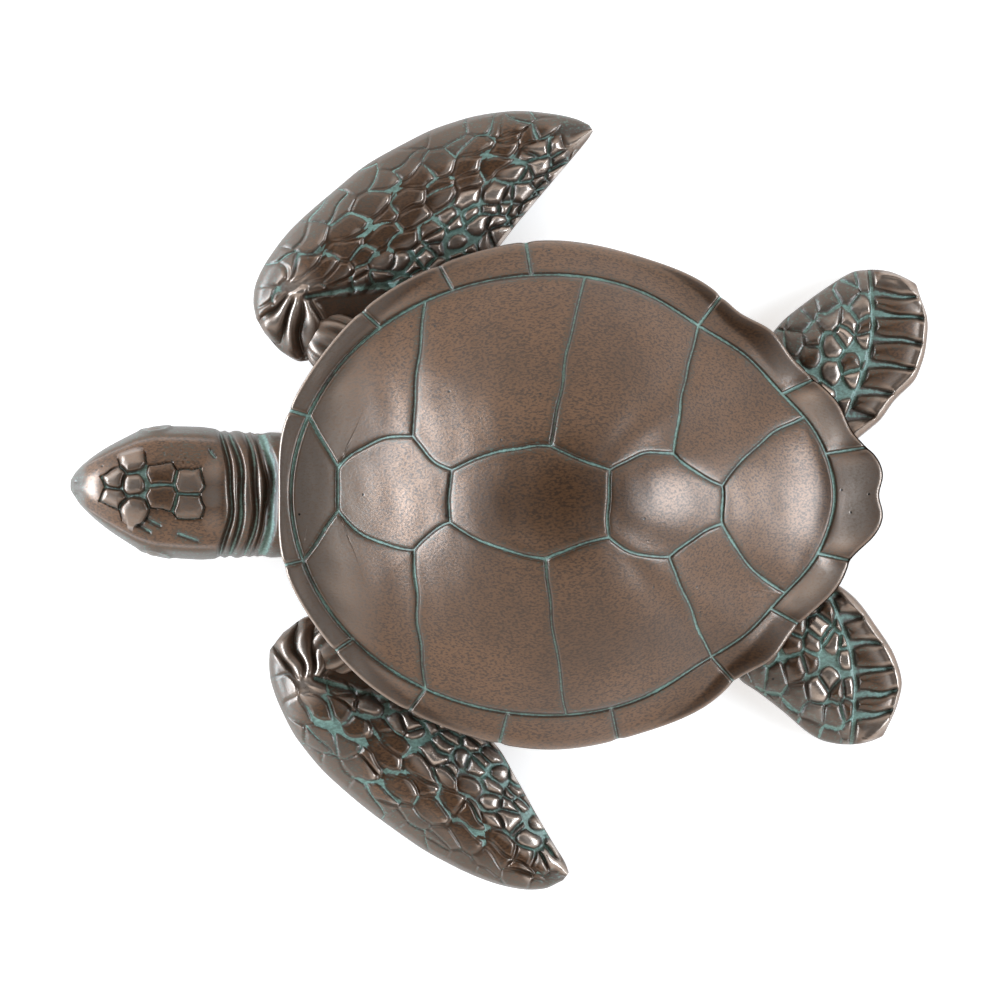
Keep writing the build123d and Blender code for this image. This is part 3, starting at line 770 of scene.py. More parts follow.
@dataclass
class Blade:
    """A flipper's blade: a lens carried along a straight axis.

    Each section is a lens between the leading and the trailing edge. Its middle, top and underside run from
    root to tip and follow the root of the chord, and it is fuller towards the leading edge.
    """

    start: Array
    heading: float
    side: Side
    outline: Triples
    root: Trio
    tip: Trio
    floor: float = 2.0
    fullness: float = 0.30

    def __post_init__(self) -> None:
        """Work out the axis, and split the outline into its columns."""
        turn = np.radians(self.heading)
        sign = self.side.value
        self.along = np.array((sign * np.sin(turn), -np.cos(turn)))
        self.inwards = sign * np.array((-self.along[1], self.along[0]))
        self.stations, self.leads, self.trails = np.array(self.outline).T

    def lead(self, s: Array) -> Array:
        """Leading edge at a distance along the blade."""
        return through(s, self.stations, self.leads)

    def trail(self, s: Array) -> Array:
        """Trailing edge at a distance along the blade."""
        return through(s, self.stations, self.trails)

    def chord_share(self, s: Array, n: Array) -> Array:
        """Share of the way from the leading to the trailing edge."""
        lead, trail = self.lead(s), self.trail(s)
        return np.clip((n + lead) / np.maximum(lead + trail, 0.5), 0, 1)

    def sections(self, count: int, upper: int, lower: int) -> tuple[Array, Array, Array]:
        """Distances along and across of all points, and their turn round the section.

        Args:
            count: Sections, closer together at both ends.
            upper: Points over the top of each.
            lower: Points over its underside.

        Returns:
            Along, across (towards the trailing edge), and turn.
        """
        low, high = self.stations[0], self.stations[-1]
        even = np.linspace(0, 1, count)
        s = low + (high - low) * (0.5 * even + 0.25 * (1 - np.cos(pi * even)))
        turn = np.concatenate((np.linspace(0, pi, upper), np.linspace(pi, 2 * pi, lower + 2)[1:-1]))
        lead, trail = self.lead(s)[:, None], self.trail(s)[:, None]
        n = (trail - lead) / 2 + (lead + trail) / 2 * np.cos(turn)[None]
        return np.broadcast_to(s[:, None], n.shape), n, np.broadcast_to(turn, n.shape)

    def points(self, s: Array, n: Array, turn: Array, relief: Relief) -> Array:
        """The grid of points, carved and cut flat where it would pass through the floor.

        Args:
            s: Distance along the blade.
            n: Offset towards the trailing edge.
            turn: Turn round the section.
            relief: The carving, added to the height.

        Returns:
            Points in millimetres, shape (sections, turns, 3).
        """
        share = np.clip(s / self.stations[-1], 0, 1)
        middle, up, down = (a + (b - a) * share for a, b in zip(self.root, self.tip))
        full = np.sqrt((self.lead(s) + self.trail(s)) / (self.leads + self.trails).max())
        rise = np.sin(turn) * np.where(np.sin(turn) > 0, up, down) * full * (1 - self.fullness * np.cos(turn))
        z = np.maximum(middle + rise + relief.height, self.floor)
        flat = self.start + s[..., None] * self.along + n[..., None] * self.inwards
        return np.concatenate((flat, z[..., None]), axis=-1)


@dataclass
class FrontFlipper:
    """A front flipper: a long swept blade covered in scales, and a folded arm that carries it."""

    side: Side
    joint: tuple[float, float]
    facing: float
    heading: float
    start: tuple[float, float]
    outline: Triples
    seed: int = 5
    rows: Pairs = (
        (1.2, 17.0), (4.2, 15.0), (8.4, 14.0), (13.4, 13.5), (19.0, 12.5), (24.6, 11.0),
        (30.0, 8.8), (34.8, 7.4), (39.2, 7.0), (43.6, 6.8), (48.0, 7.0),
    )
    long_rows: int = 6
    crease: Pairs = ((17.0, 1.2), (26.0, 4.5), (34.0, 7.6), (43.0, 11.6), (56.0, 18.0))
    plate_rise: float = 0.45
    scale_rise: float = 1.0
    scale_tilt: float = 0.75
    pebble_rise: float = 2.1
    plain_share: Band = (0.32, 0.12)
    pebble_share: Band = (0.50, 0.66)
    pebble_start: Band = (22.0, 48.0)
    line_widths: Trio = (0.34, 0.62, 0.95)
    tip_stations: Band = (119.0, 127.0)
    elbow_near: Band = (4.0, 7.5)
    elbow_far: Band = (29.0, 24.0)
    elbow_first: Band = (2.0, 16.0)
    elbow_last: Band = (104.0, 90.0)
    fold_pitch: float = 24.0
    fold_rise: float = 2.7
    fold_floor: float = -1.5
    crease_depth: float = 1.9
    root: Trio = (11.5, 9.0, 8.0)
    tip: Trio = (4.5, 5.5, 4.5)
    knob: tuple[float, float] = (16.4, -2.8)
    fan: tuple[float, float] = (18.5, -4.0)

    def scale_seeds(self, blade: Blade) -> tuple[Array, Array]:
        """Centres and sizes of the scales: rows that follow the leading edge, long scales in the first.

        Args:
            blade: The blade they lie on.

        Returns:
            Seeds as (distance along the blade, offset towards the trailing edge), and their sizes.
        """
        chance = np.random.default_rng(self.seed)
        seeds = []
        for row, (offset, pitch) in enumerate(self.rows):
            along = np.arange(4.0 + (row % 2) * pitch / 2, blade.stations[-1] + 4, pitch)
            loose = 0.22 if row < self.long_rows else 0.14
            along = along + chance.normal(0, loose * pitch, len(along))
            squeeze = 1.0 - 0.45 * smoothstep(75, 128, along)
            aside = offset * squeeze - blade.lead(along)
            seeds.append(np.stack((along, aside + chance.normal(0, 1.1, len(along))), axis=1))
        placed = np.concatenate(seeds)
        return placed, chance.uniform(0.0, 3.4, len(placed))

    def carve(self, blade: Blade, s: Array, n: Array) -> Relief:
        """The carving on the blade's upper side.

        Scales are flat plates under a grey film along the leading edge, tilted plates with scuffed edges over
        the middle, and round pebbles with wide gaps towards the trailing edge; raised edges, pebble tops and
        fold tops are painted paler, partly as painted highlights. Folds fan out over the elbow from a knob,
        and a crease parts the arm from the blade.

        Args:
            blade: The blade.
            s: Distance along it.
            n: Offset towards the trailing edge.

        Returns:
            The carving.
        """
        share = blade.chord_share(s, n)
        relief = self.carve_scales(blade, s, n, share)
        ridge = bell(share - 0.80, 0.11)
        at_tip = smoothstep(*self.tip_stations, s)
        relief.lay(at_tip, 1.3 * ridge, 1.6, 0.95 * ridge, 0.7 * smoothstep(0.75, 0.45, share))
        self.carve_elbow(relief, s, n)
        self.carve_crease(relief, s, n)
        relief.height = relief.height * smoothstep(0.0, 0.05, share) * smoothstep(1.0, 0.97, share)
        return relief

    def carve_scales(self, blade: Blade, s: Array, n: Array, share: Array) -> Relief:
        """The scales alone: cells round the seeds, shaped by their share of the way across the blade.

        Args:
            blade: The blade.
            s: Distance along it.
            n: Offset towards the trailing edge.
            share: Share of the way from the leading to the trailing edge.

        Returns:
            The carving.
        """
        seeds, sizes = self.scale_seeds(blade)
        squash = np.array((0.66, 1.0))
        moved = wavered(s, n, 0.9, 13.0, self.seed + 1)
        edge, owner, other = cells(moved * squash, seeds * squash, sizes)
        apart = (moved - seeds[owner]) * squash
        chance = np.random.default_rng(self.seed + 3)
        own = chance.uniform(0.65, 1.25, len(seeds))[owner]
        mark = chance.uniform(0, 1, len(seeds))
        wall = (mark[owner] + mark[other]) % 1.0
        drift = 0.09 * ripple(s, n, 32.0, self.seed + 4)
        plain = smoothstep(*self.plain_share, share + drift)
        pebble = smoothstep(*self.pebble_share, share + drift) * smoothstep(*self.pebble_start, s)
        scaly = np.clip(1 - plain - pebble, 0, 1)
        bead = np.minimum(edge, 3.4 * np.maximum(own, 0.8) - np.hypot(apart[..., 0], apart[..., 1] * 0.9))
        oval = np.minimum(edge, 3.1 + 0.6 * own - np.hypot(apart[..., 0] * 0.68, apart[..., 1]))
        edge = edge + (bead - edge) * pebble + (oval - edge) * scaly
        plain_line, scale_line, pebble_line = self.line_widths
        line = plain_line * plain + scale_line * scaly + pebble_line * pebble
        tilt = np.clip(((s - seeds[owner, 0]) * 0.5 + (n - seeds[owner, 1]) * 0.85) / 4.0, -1, 1)
        plate = smoothstep(0.0, 1.0, edge / (line + 0.45))
        flat_scales = self.plate_rise * plain * plate
        tilted_scales = scaly * plate * (self.scale_rise + self.scale_tilt * tilt)
        pebbles = self.pebble_rise * pebble * quarter_round(edge, 0.3, 2.3)
        height = own * (flat_scales + tilted_scales + pebbles)
        seam = 0.75 * edge / line + 1.3 * smoothstep(0.45, 0.6, wall) * (1 - 0.85 * pebble)
        rim = smoothstep(0.35, 0.8, tilt) * smoothstep(0.45, 0.9, edge) * smoothstep(2.6, 1.3, edge)
        # Paler raised edges of the tilted scales and paler pebble tops: handling and painted highlights
        wear_and_highlight = 0.85 * scaly * rim * smoothstep(0.25, 0.6, wall)
        wear_and_highlight = wear_and_highlight + pebble * own * 0.9 * smoothstep(0.5, 1.7, edge)
        return Relief(height, np.maximum(seam, 0), wear_and_highlight, 0.65 * plain)

    def carve_elbow(self, relief: Relief, s: Array, n: Array) -> None:
        """Folds that fan out from the knob over the elbow, dark between them, with their tops and the knob painted
        paler for handling and as painted highlights.

        Args:
            relief: The carving that they are laid over.
            s: Distance along the blade.
            n: Offset towards the trailing edge.
        """
        fan_s, fan_n = self.fan[0] - s, n - self.fan[1]
        turn = np.degrees(np.arctan2(fan_n, fan_s))
        away = np.hypot(fan_s, fan_n)
        elbow = smoothstep(*self.elbow_near, away) * smoothstep(*self.elbow_first, turn)
        elbow = elbow * smoothstep(*self.elbow_last, turn) * smoothstep(*self.elbow_far, away)
        wave = turn / self.fold_pitch + 0.22 * ripple(s, n, 12.0, self.seed + 6)
        fold = 0.5 + 0.5 * np.cos(2 * pi * wave)
        height = smoothstep(4, 9, away) * (self.fold_rise * fold**0.4 + self.fold_floor)
        # Paler fold tops: handling and painted highlight
        rubbed_and_highlight = smoothstep(0.2, 0.65, fold) * smoothstep(25, 10, away)
        relief.lay(elbow, height, 0.75 + 2.6 * fold, rubbed_and_highlight, 0.25)
        knob = np.hypot(s - self.knob[0], n - self.knob[1])
        relief.height = relief.height + 1.3 * bell(knob, 4.6)
        relief.seam = relief.seam + 3.0 * bell(knob, 4.0)
        # The knob is painted paler: handling and painted highlight
        relief.wear_and_highlight = np.maximum(relief.wear_and_highlight, 0.95 * bell(knob, 5.0))

    def carve_crease(self, relief: Relief, s: Array, n: Array) -> None:
        """The green crease, wider towards the rim, and the smooth strip of the arm behind it.

        Args:
            relief: The carving that they are cut into.
            s: Distance along the blade.
            n: Offset towards the trailing edge.
        """
        line = np.array(self.crease)
        behind = smoothstep(0.5, 3.0, n - np.interp(s, line[:, 0], line[:, 1]))
        relief.lay(behind * smoothstep(16, 21, s) * smoothstep(60, 54, s), -0.6, 2.6, 0.06, 0.1)
        crease = distance_to_line(np.stack((s, n), -1), line)
        wide = 0.8 + 0.055 * np.clip(s - 17, 0, 40)
        relief.cut(self.crease_depth * bell(crease, wide), 0.6 * crease / wide)
        relief.wear_and_highlight = relief.wear_and_highlight * smoothstep(1.0, 2.2, crease / wide)

    def build(self) -> bpy.types.Object:
        """The carved blade and its arm as one casting.

        Returns:
            The new piece.
        """
        sign = self.side.value
        start = np.array((self.joint[0] + sign * self.start[0], self.joint[1] + self.start[1]))
        blade = Blade(start, self.heading, self.side, self.outline, self.root, self.tip)
        s, n, turn = blade.sections(330, 210, 58)
        relief = self.carve(blade, s, n)
        relief.topside(smoothstep(0.02, 0.20, np.sin(turn)))
        surface = Surface()
        surface.add_carved(blade.points(s, n, turn, relief), relief)
        self.add_arm(surface)
        piece = surface.build(f"flipper_front_{self.side.label}")
        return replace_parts(piece, f"front_flipper_{self.side.label}")

    def add_arm(
        self,
        surface: Surface,
        width: float = 11.8,
        height: float = 7.0,
        middle: float = 12.4,
        length: float = 19.0,
    ) -> None:
        """The arm from the joint's face out to the elbow: an ellipse that narrows a little, with soft folds.

        Args:
            surface: The casting it joins.
            width: Half width at the joint.
            height: Half height at the joint.
            middle: Height of its middle.
            length: How far it runs out from the joint.
        """
        facing = np.radians(self.facing)
        out = np.array((self.side.value * np.sin(facing), -np.cos(facing)))
        aside = np.array((-out[1], out[0]))
        t = np.linspace(0, 1, 40)[:, None]
        turn = np.linspace(0, 2 * pi, 72, endpoint=False)[None]
        fold = 0.5 + 0.5 * np.cos(11 * turn + 2.5 * t)
        size = 1 - 0.2 * t + 0.10 * (np.sqrt(fold) - 0.6) * np.sin(pi * np.clip(t * 1.15, 0, 1))
        size = size * np.sqrt(1 - 0.97 * np.clip((t - 0.5) / 0.5, 0, 1) ** 2)
        flat = np.array(self.joint) + (t * length)[..., None] * out
        flat = flat + (width * size * np.cos(turn))[..., None] * aside
        z = middle + height * size * np.sin(turn)
        body = closed_ends(np.concatenate((flat, z[..., None]), axis=-1))
        marks = np.concatenate((fold[:1], fold, fold[-1:]))
        surface.add_grid(body, 0.8 + 2.4 * marks, 0.5 * marks**3, 0.15)


@dataclass
class HindFlipper:
    """A hind flipper: a short broad paddle with toe plates along its outer edge."""

    side: Side
    joint: tuple[float, float]
    facing: float
    outline: Triples
    seed: int = 21
    channel: Pairs = (
        (-14.0, 17.0), (-6.0, 20.5), (2.4, 23.8), (14.3, 28.3), (27.0, 30.2), (40.0, 29.5), (50.0, 28.5),
    )
    toe_lines: tuple[float, ...] = (-5.0, 4.0, 13.5, 22.5, 31.0, 38.5)
    scale_pitch: float = 6.6
    scale_rise: float = 2.0
    plain_share: Band = (0.34, 0.16)
    wear_and_highlight_start: Band = (-19.0, -11.0)
    toe_rise: float = 2.3
    root: Trio = (8.6, 6.0, 6.2)
    tip: Trio = (5.0, 4.5, 4.8)
    first: Trio = (0.0, 12.0, 12.0)
    blunt_end: float = 1.2
    blunt_share: float = 0.42

    def carve(self, blade: Blade, s: Array, n: Array) -> Relief:
        """The carving on top: toe plates behind a curved channel, and scales inside it, with scale tops and toe
        ends painted paler for handling and as painted highlights.

        Args:
            blade: The paddle.
            s: Distance from the joint.
            n: Offset towards the trailing edge.

        Returns:
            The carving.
        """
        across, back = (s * blade.along[k] + n * blade.inwards[k] for k in (0, 1))
        out = across * self.side.value
        share = blade.chord_share(s, n)
        chance = np.random.default_rng(self.seed)
        steps = np.arange(-24.0, 62.0, self.scale_pitch)
        seeds = np.stack(np.meshgrid(steps, steps), -1).reshape(-1, 2)
        seeds = seeds + chance.normal(0, 1.5, seeds.shape)
        seeds[:, 0] += np.repeat(np.arange(len(steps)) % 2, len(steps)) * self.scale_pitch / 2
        place = np.stack((out * 0.82 + 0.5 * ripple(out, back, 9.0, self.seed + 1), back), -1)
        edge, owner, other = cells(place, seeds, chance.uniform(0, 3.0, len(seeds)))
        own = chance.uniform(0.6, 1.3, len(seeds))[owner]
        mark = chance.uniform(0, 1, len(seeds))
        plain = smoothstep(*self.plain_share, share)
        apart = np.linalg.norm(place - seeds[owner], axis=-1)
        edge = edge + (np.minimum(edge, 3.4 + 0.8 * own - apart) - edge) * (1 - plain)
        height = own * (self.scale_rise - 1.2 * plain) * quarter_round(edge, 0.3, 2.6)
        blind = smoothstep(0.5, 0.7, (mark[owner] + mark[other]) % 1.0)
        seam = np.maximum(edge, 0) * 0.80 + 1.2 * blind * plain
        # Paler scale tops: handling and painted highlight
        wear_and_highlight = own * (1.10 - 0.90 * plain) * smoothstep(0.5, 1.6, edge) * smoothstep(0.2, 0.5, mark[owner])
        relief = Relief(height, seam, wear_and_highlight, 0.75 * plain)
        line = np.array(self.channel)
        beyond = back - np.interp(out, line[:, 0], line[:, 1])
        # The paler paint only near the channel and beyond it
        relief.wear_and_highlight = relief.wear_and_highlight * smoothstep(*self.wear_and_highlight_start, beyond)
        wander = out + 0.6 * ripple(out, back, 15.0, self.seed + 2) + 0.10 * beyond
        toe = np.abs(wander[..., None] - np.array(self.toe_lines)).min(-1)
        margin = np.minimum(n + blade.lead(s), blade.trail(s) - n)
        margin = np.minimum(margin, (blade.stations[-1] - s) * 0.9)
        gap = toe * (0.27 + 0.095 * np.clip(beyond, 0, 16)) + 2.6 * smoothstep(2.9, 1.6, margin)
        gap = np.minimum(gap, np.maximum(beyond - 0.9, 0))
        bank = quarter_round(gap, 0.8, 3.2)
        rim = bell(margin - 2.2, 1.4) * smoothstep(3, 6, beyond)
        # Paler outer ends of the toe plates: handling and painted highlight
        rubbed_and_highlight = (0.6 * rim + 0.5 * bell(margin - 5.0, 2.2)) * bank
        relief.lay(smoothstep(-0.6, 0.4, beyond), self.toe_rise * bank - 0.6 + 0.9 * rim, gap * 0.62, rubbed_and_highlight)
        return relief

    def build(self) -> bpy.types.Object:
        """The carved paddle, with one more narrow section for a blunt end.

        Returns:
            The new piece.
        """
        end, lead, trail = self.outline[-1]
        narrowed = (lead + trail) * self.blunt_share
        last = (end + self.blunt_end, lead - narrowed, trail - narrowed)
        outline = (self.first, *self.outline, last)
        blade = Blade(np.array(self.joint), self.facing, self.side, outline, self.root, self.tip)
        s, n, turn = blade.sections(230, 200, 56)
        relief = self.carve(blade, s, n)
        relief.topside(smoothstep(0.02, 0.22, np.sin(turn)) * smoothstep(0, 4, s))
        surface = Surface()
        surface.add_carved(blade.points(s, n, turn, relief), relief)
        piece = surface.build(f"flipper_hind_{self.side.label}")
        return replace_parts(piece, f"hind_flipper_{self.side.label}")


@dataclass(frozen=True)
class CrownPlate:
    """One plate of the head's crown: where its middle lies, its size, how much lighter it is painted (from
    handling on lined plates, as a painted highlight on the others) and how proud it is.

    A plate with no rise has no line round it: it holds its neighbours apart, and any lighter paint on it is a
    painted highlight in its middle.
    """

    x: float
    y: float
    size: float
    wear_and_highlight: float
    rise: float = 0.0


@dataclass
class Head:
    """Head and neck in one casting: a blunt beak, plates on the crown, brows, and folds round the neck."""

    joint_y: float = -100.07
    neck_z: float = 17.5
    reach: float = 78.2
    turn: float = 3.5
    eye_station: float = 0.62
    eye_rise: float = 5.0
    sections: tuple[tuple[float, float, float, float, float], ...] = (
        (0.0, 21.5, 0.0, 14.0, 14.0), (0.10, 22.0, 0.0, 14.5, 14.0), (0.30, 22.4, 0.5, 15.5, 14.0),
        (0.43, 23.3, 1.5, 16.5, 13.5), (0.60, 22.9, 2.5, 16.0, 12.5), (0.68, 21.2, 3.0, 15.0, 12.0),
        (0.765, 17.7, 3.5, 13.5, 11.0), (0.855, 13.3, 3.5, 11.5, 10.0), (0.933, 8.4, 3.0, 8.5, 8.0),
        (0.98, 4.4, 2.5, 5.0, 5.0), (1.0, 1.8, 2.0, 2.2, 2.6),
    )
    # Lighter paint on the plates: handling on the lined plates, a painted highlight on the plates with no rise,
    # such as the rear crown's at -127
    plates: tuple[CrownPlate, ...] = (
        CrownPlate(-6.4, -162.4, 2.6, 0.65, 0.6), CrownPlate(1.4, -162.8, 2.8, 0.65, 0.6),
        CrownPlate(-3.7, -155.6, 2.6, 0.75, 0.7), CrownPlate(-12.6, -156.6, 3.4, 0.6, 0.9),
        CrownPlate(5.6, -155.6, 3.4, 0.55, 0.9), CrownPlate(-7.4, -145.6, 3.4, 0.0, 0.45),
        CrownPlate(0.8, -145.4, 3.8, 0.05, 0.45), CrownPlate(-4.7, -135.9, 4.0, 0.45, 0.5),
        CrownPlate(4.0, -136.2, 4.0, 0.40, 0.5), CrownPlate(-2.4, -170.3, 2.0, 0.35),
        CrownPlate(-14.5, -146.8, 3.0, 0.0), CrownPlate(9.6, -146.4, 3.2, 0.0),
        CrownPlate(-13.2, -136.6, 3.5, 0.0), CrownPlate(12.6, -136.6, 3.5, 0.0),
        CrownPlate(-7.0, -127.0, 3.0, 0.45), CrownPlate(0.5, -127.0, 3.0, 0.6),
        CrownPlate(8.0, -127.0, 3.0, 0.2), CrownPlate(-10.5, -164.8, 2.0, 0.1),
        CrownPlate(6.0, -165.0, 2.0, 0.1),
    )
    folds: Triples = (
        (-121.7, 0.85, 0.8), (-118.1, 0.95, 0.7), (-112.9, 1.1, 0.9), (-109.6, 0.9, 2.2), (-107.0, 1.5, 0.5),
    )
    marks: tuple[tuple[float, float, float, float], ...] = (
        (10.4, -154.0, 12.8, -150.0), (8.2, -151.0, 10.6, -146.4), (-15.6, -129.2, -13.2, -127.3),
        (13.5, -140.0, 16.0, -133.5),
    )
    nostrils: Pairs = ((-4.9, -175.4), (0.2, -175.4))
    crown_back: Band = (-123.5, -127.0)
    crown_front: Band = (-176.0, -170.0)
    crown_side: Band = (0.90, 0.72)
    plate_side: Band = (0.74, 0.60)
    line_side: Band = (0.66, 0.56)
    jaw_side: Band = (0.80, 0.93)
    beak: Band = (-171.5, -174.5)
    film_back: Band = (-103.0, -124.0)
    brow_aside: float = 0.84
    brow_back: Band = (-124.0, -132.0)
    brow_front: Band = (-174.0, -166.0)
    scrape_at: tuple[float, float] = (-14.8, -139.0)
    fold_depth: float = 1.9
    fold_sweep: float = 4.5
    lid_rise: float = 0.7
    lip_drop: float = 1.4
    mouth_depth: float = 1.2

    def carve(self, x: Array, y: Array, aside: Array) -> Relief:
        """The carving on the crown and the neck.

        Args:
            x: Across.
            y: Along.
            aside: 0 on the middle line of the head, 1 at its widest.

        Returns:
            The carving.
        """
        here = smoothstep(*self.crown_back, y) * smoothstep(*self.crown_front, y)
        here = here * smoothstep(*self.crown_side, aside)
        relief = self.carve_plates(x, y, aside, here)
        jaw = smoothstep(*self.jaw_side, aside) + smoothstep(*self.beak, y)
        relief.film = np.clip(jaw, 0, 1) * smoothstep(*self.film_back, y)
        brow = 0.5 * bell(np.abs(aside - self.brow_aside) * 20, 0.8)
        relief.height = relief.height - brow * smoothstep(*self.brow_back, y) * smoothstep(*self.brow_front, y)
        rough_x, rough_y = self.scrape_at
        rough = bell(np.hypot((x - rough_x) / 4.2, (y - rough_y) / 9.0), 1.0) * here
        scrape = ripple(x, y, 1.8, 71) * ripple(x, y, 3.1, 72)
        relief.cut(-0.25 * rough * scrape, 0.35 + 1.1 * (1 + scrape) + 4 * smoothstep(0.55, 0.2, rough))
        self.carve_neck(relief, x, y, aside)
        self.carve_marks(relief, x, y)
        return relief

    def carve_plates(self, x: Array, y: Array, aside: Array, here: Array) -> Relief:
        """The plates alone: cells round their middles, rounded off, with a line in the gaps.

        Args:
            x: Across.
            y: Along.
            aside: 0 on the middle line of the head, 1 at its widest.
            here: 1 on the crown and 0 off it.

        Returns:
            The carving.
        """
        seeds = np.array([(plate.x, plate.y) for plate in self.plates])
        sizes, rise, rubbed_and_highlight = np.array([(plate.size, plate.rise, plate.wear_and_highlight) for plate in self.plates]).T
        moved = wavered(x, y, 0.35, 7.0, 61)
        edge, owner, other = cells(moved, seeds, sizes)
        apart = moved - seeds[owner]
        apart = np.hypot(apart[..., 0], apart[..., 1] * 0.92)
        bead = np.minimum(edge, 1.6 * sizes[owner] - apart)
        lined, lined_beyond = rise[owner] > 0, rise[other] > 0
        near = lined * smoothstep(3.2, 2.2, edge)
        gap = edge + near * (np.where(lined_beyond, np.maximum(bead, 0), np.abs(bead)) - edge)
        edge = edge + near * (np.maximum(bead, 0) - edge)
        line = here * lined * smoothstep(*self.line_side, aside)
        crown = smoothstep(*self.plate_side, aside)
        proud = here * (lined * crown) * rise[owner] * 1.9 * quarter_round(edge, 0.2, 3.2)
        height = proud - 0.9 * line * smoothstep(0.9, 0.2, gap)
        seam = gap * 1.25 + FAR * (1 - line)
        # Lined plates are paler towards their middles from handling; plates with no rise get a painted highlight
        # in their middle
        worn_and_highlight = np.where(lined, 0.75 * smoothstep(0.7, 2.4, edge), 0.9 * bell(apart, 1.5 * sizes[owner]))
        wear_and_highlight = here * rubbed_and_highlight[owner] * worn_and_highlight * crown
        return Relief(height, np.minimum(seam, FAR), wear_and_highlight, np.zeros(x.shape))

    def carve_neck(self, relief: Relief, x: Array, y: Array, aside: Array) -> None:
        """Folds round the neck that sweep forward on its sides, the ridges between them painted paler for handling
        and as painted highlights.

        Args:
            relief: The carving that they are cut into.
            x: Across.
            y: Along.
            aside: 0 on the middle line of the head, 1 at its widest.
        """
        for k, (station, wide, green) in enumerate(self.folds):
            line = station - self.fold_sweep * aside**2.5 + 0.45 * ripple(x, 0 * x, 21.0, 40 + k)
            gap = np.abs(y - line)
            relief.cut(self.fold_depth * bell(gap, 1.15 * wide), green * gap / wide + 0.5 * (green - 0.5))
        # The ridges between the folds are painted paler: handling and painted highlight
        ridges = smoothstep(-125, -122, y) * smoothstep(-105, -109, y) * bell(x + 1.0, 8.0)
        relief.wear_and_highlight = np.maximum(relief.wear_and_highlight, 0.55 * ridges * smoothstep(0.9, 1.8, relief.seam))
        relief.film = np.maximum(relief.film, 0.6 * smoothstep(0.75, 0.95, aside))

    def carve_marks(self, relief: Relief, x: Array, y: Array) -> None:
        """Eyelid slits and other short cuts, and the nostrils.

        Args:
            relief: The carving that they are cut into.
            x: Across.
            y: Along.
        """
        for x0, y0, x1, y1 in self.marks:
            gap = distance_to_line(np.stack((x, y), -1), np.array(((x0, y0), (x1, y1))))
            relief.cut(0.7 * bell(gap, 0.6), gap)
        for hole_x, hole_y in self.nostrils:
            hole = np.hypot((x - hole_x) / 1.2, (y - hole_y) / 1.6)
            relief.cut(1.6 * bell(hole, 1.0), 0.9 * hole + 0.75)

    def carve_lids(self, relief: Relief, y: Array, z: Array) -> None:
        """Lids round each eye: a ridge and a dark line inside it, by the distance from the eye's middle.

        Args:
            relief: The carving that they are laid on.
            y: Along.
            z: Height over the table.
        """
        station, height = self.joint_y - self.reach * self.eye_station, self.neck_z + self.eye_rise
        away = np.hypot((y - station) / 1.3, z - height)
        relief.cut(-self.lid_rise * bell(away - 3.9, 0.9), 0.9 + 1.2 * np.abs(away - 2.8))

    def build(self) -> bpy.types.Object:
        """The head as rounded sections carried from the neck's joint to the beak, with the carving on top.

        Returns:
            The new piece.
        """
        table = np.array(self.sections)
        even = np.linspace(0, 1, 360)
        share = np.sin(even * pi / 2) * 0.45 + even * 0.55
        width, middle, up, down = (through(share, table[:, 0], table[:, k])[:, None] for k in range(1, 5))
        over = np.linspace(-0.2, 1.2, 220) * pi * 0.75 + pi * 0.125
        turn = np.concatenate((over, np.linspace(1.175, 1.825, 40)[1:-1] * pi))
        sine, cosine = np.sin(turn), np.cos(turn)
        x = (-self.turn * share**2)[:, None] + width * cosine
        y = np.broadcast_to((self.joint_y - self.reach * share)[:, None], x.shape)
        z = self.neck_z + middle + np.where(sine > 0, up, down) * sine
        relief = self.carve(x, y, np.broadcast_to(np.abs(cosine), x.shape))
        self.carve_lids(relief, y, z)
        relief.topside(smoothstep(-0.3, 0.12, sine))
        x = x + 0.6 * relief.height * cosine
        z = z + relief.height * np.clip(sine + 0.25, 0, 1)
        lip = self.neck_z - self.lip_drop + self.lip_drop * smoothstep(0.62, 0.95, share)[:, None]
        mouth = np.abs(z - lip)
        open_here = smoothstep(0.58, 0.66, share)[:, None]
        x = x - self.mouth_depth * open_here * smoothstep(0.9, 0.1, mouth) * cosine
        relief.seam = np.minimum(relief.seam, mouth * 1.5 + 1.0 + FAR * (1 - open_here))
        surface = Surface()
        surface.add_carved(np.stack((x, y, z), axis=-1), relief)
        self.add_eyes(surface)
        piece = surface.build("head")
        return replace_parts(piece, "head_and_neck")

    def add_eyes(self, surface: Surface, spread: float = 18.3, radius: float = 4.5) -> None:
        """The eyeballs: spheres set into the sides of the head, with a slit across the middle of each.

        Args:
            surface: The casting they join.
            spread: Distance from the middle of the head.
            radius: Of the eyeball.
        """
        down = np.linspace(0, pi, 28)[:, None]
        turn = np.linspace(0, 2 * pi, 48, endpoint=False)[None]
        size = radius - 0.3 * bell(np.cos(down), 0.12) * np.ones_like(turn)
        for side in Side:
            x = -self.turn * self.eye_station**2 + side.value * spread + size * np.sin(down) * np.cos(turn)
            y = self.joint_y - self.reach * self.eye_station + size * np.sin(down) * np.sin(turn)
            z = self.neck_z + self.eye_rise + size * np.cos(down)
            surface.add_grid(np.stack((x, y, z), -1), np.abs(np.cos(down)) * 8 + 0.8, 0.15, 0.8)


# Felt


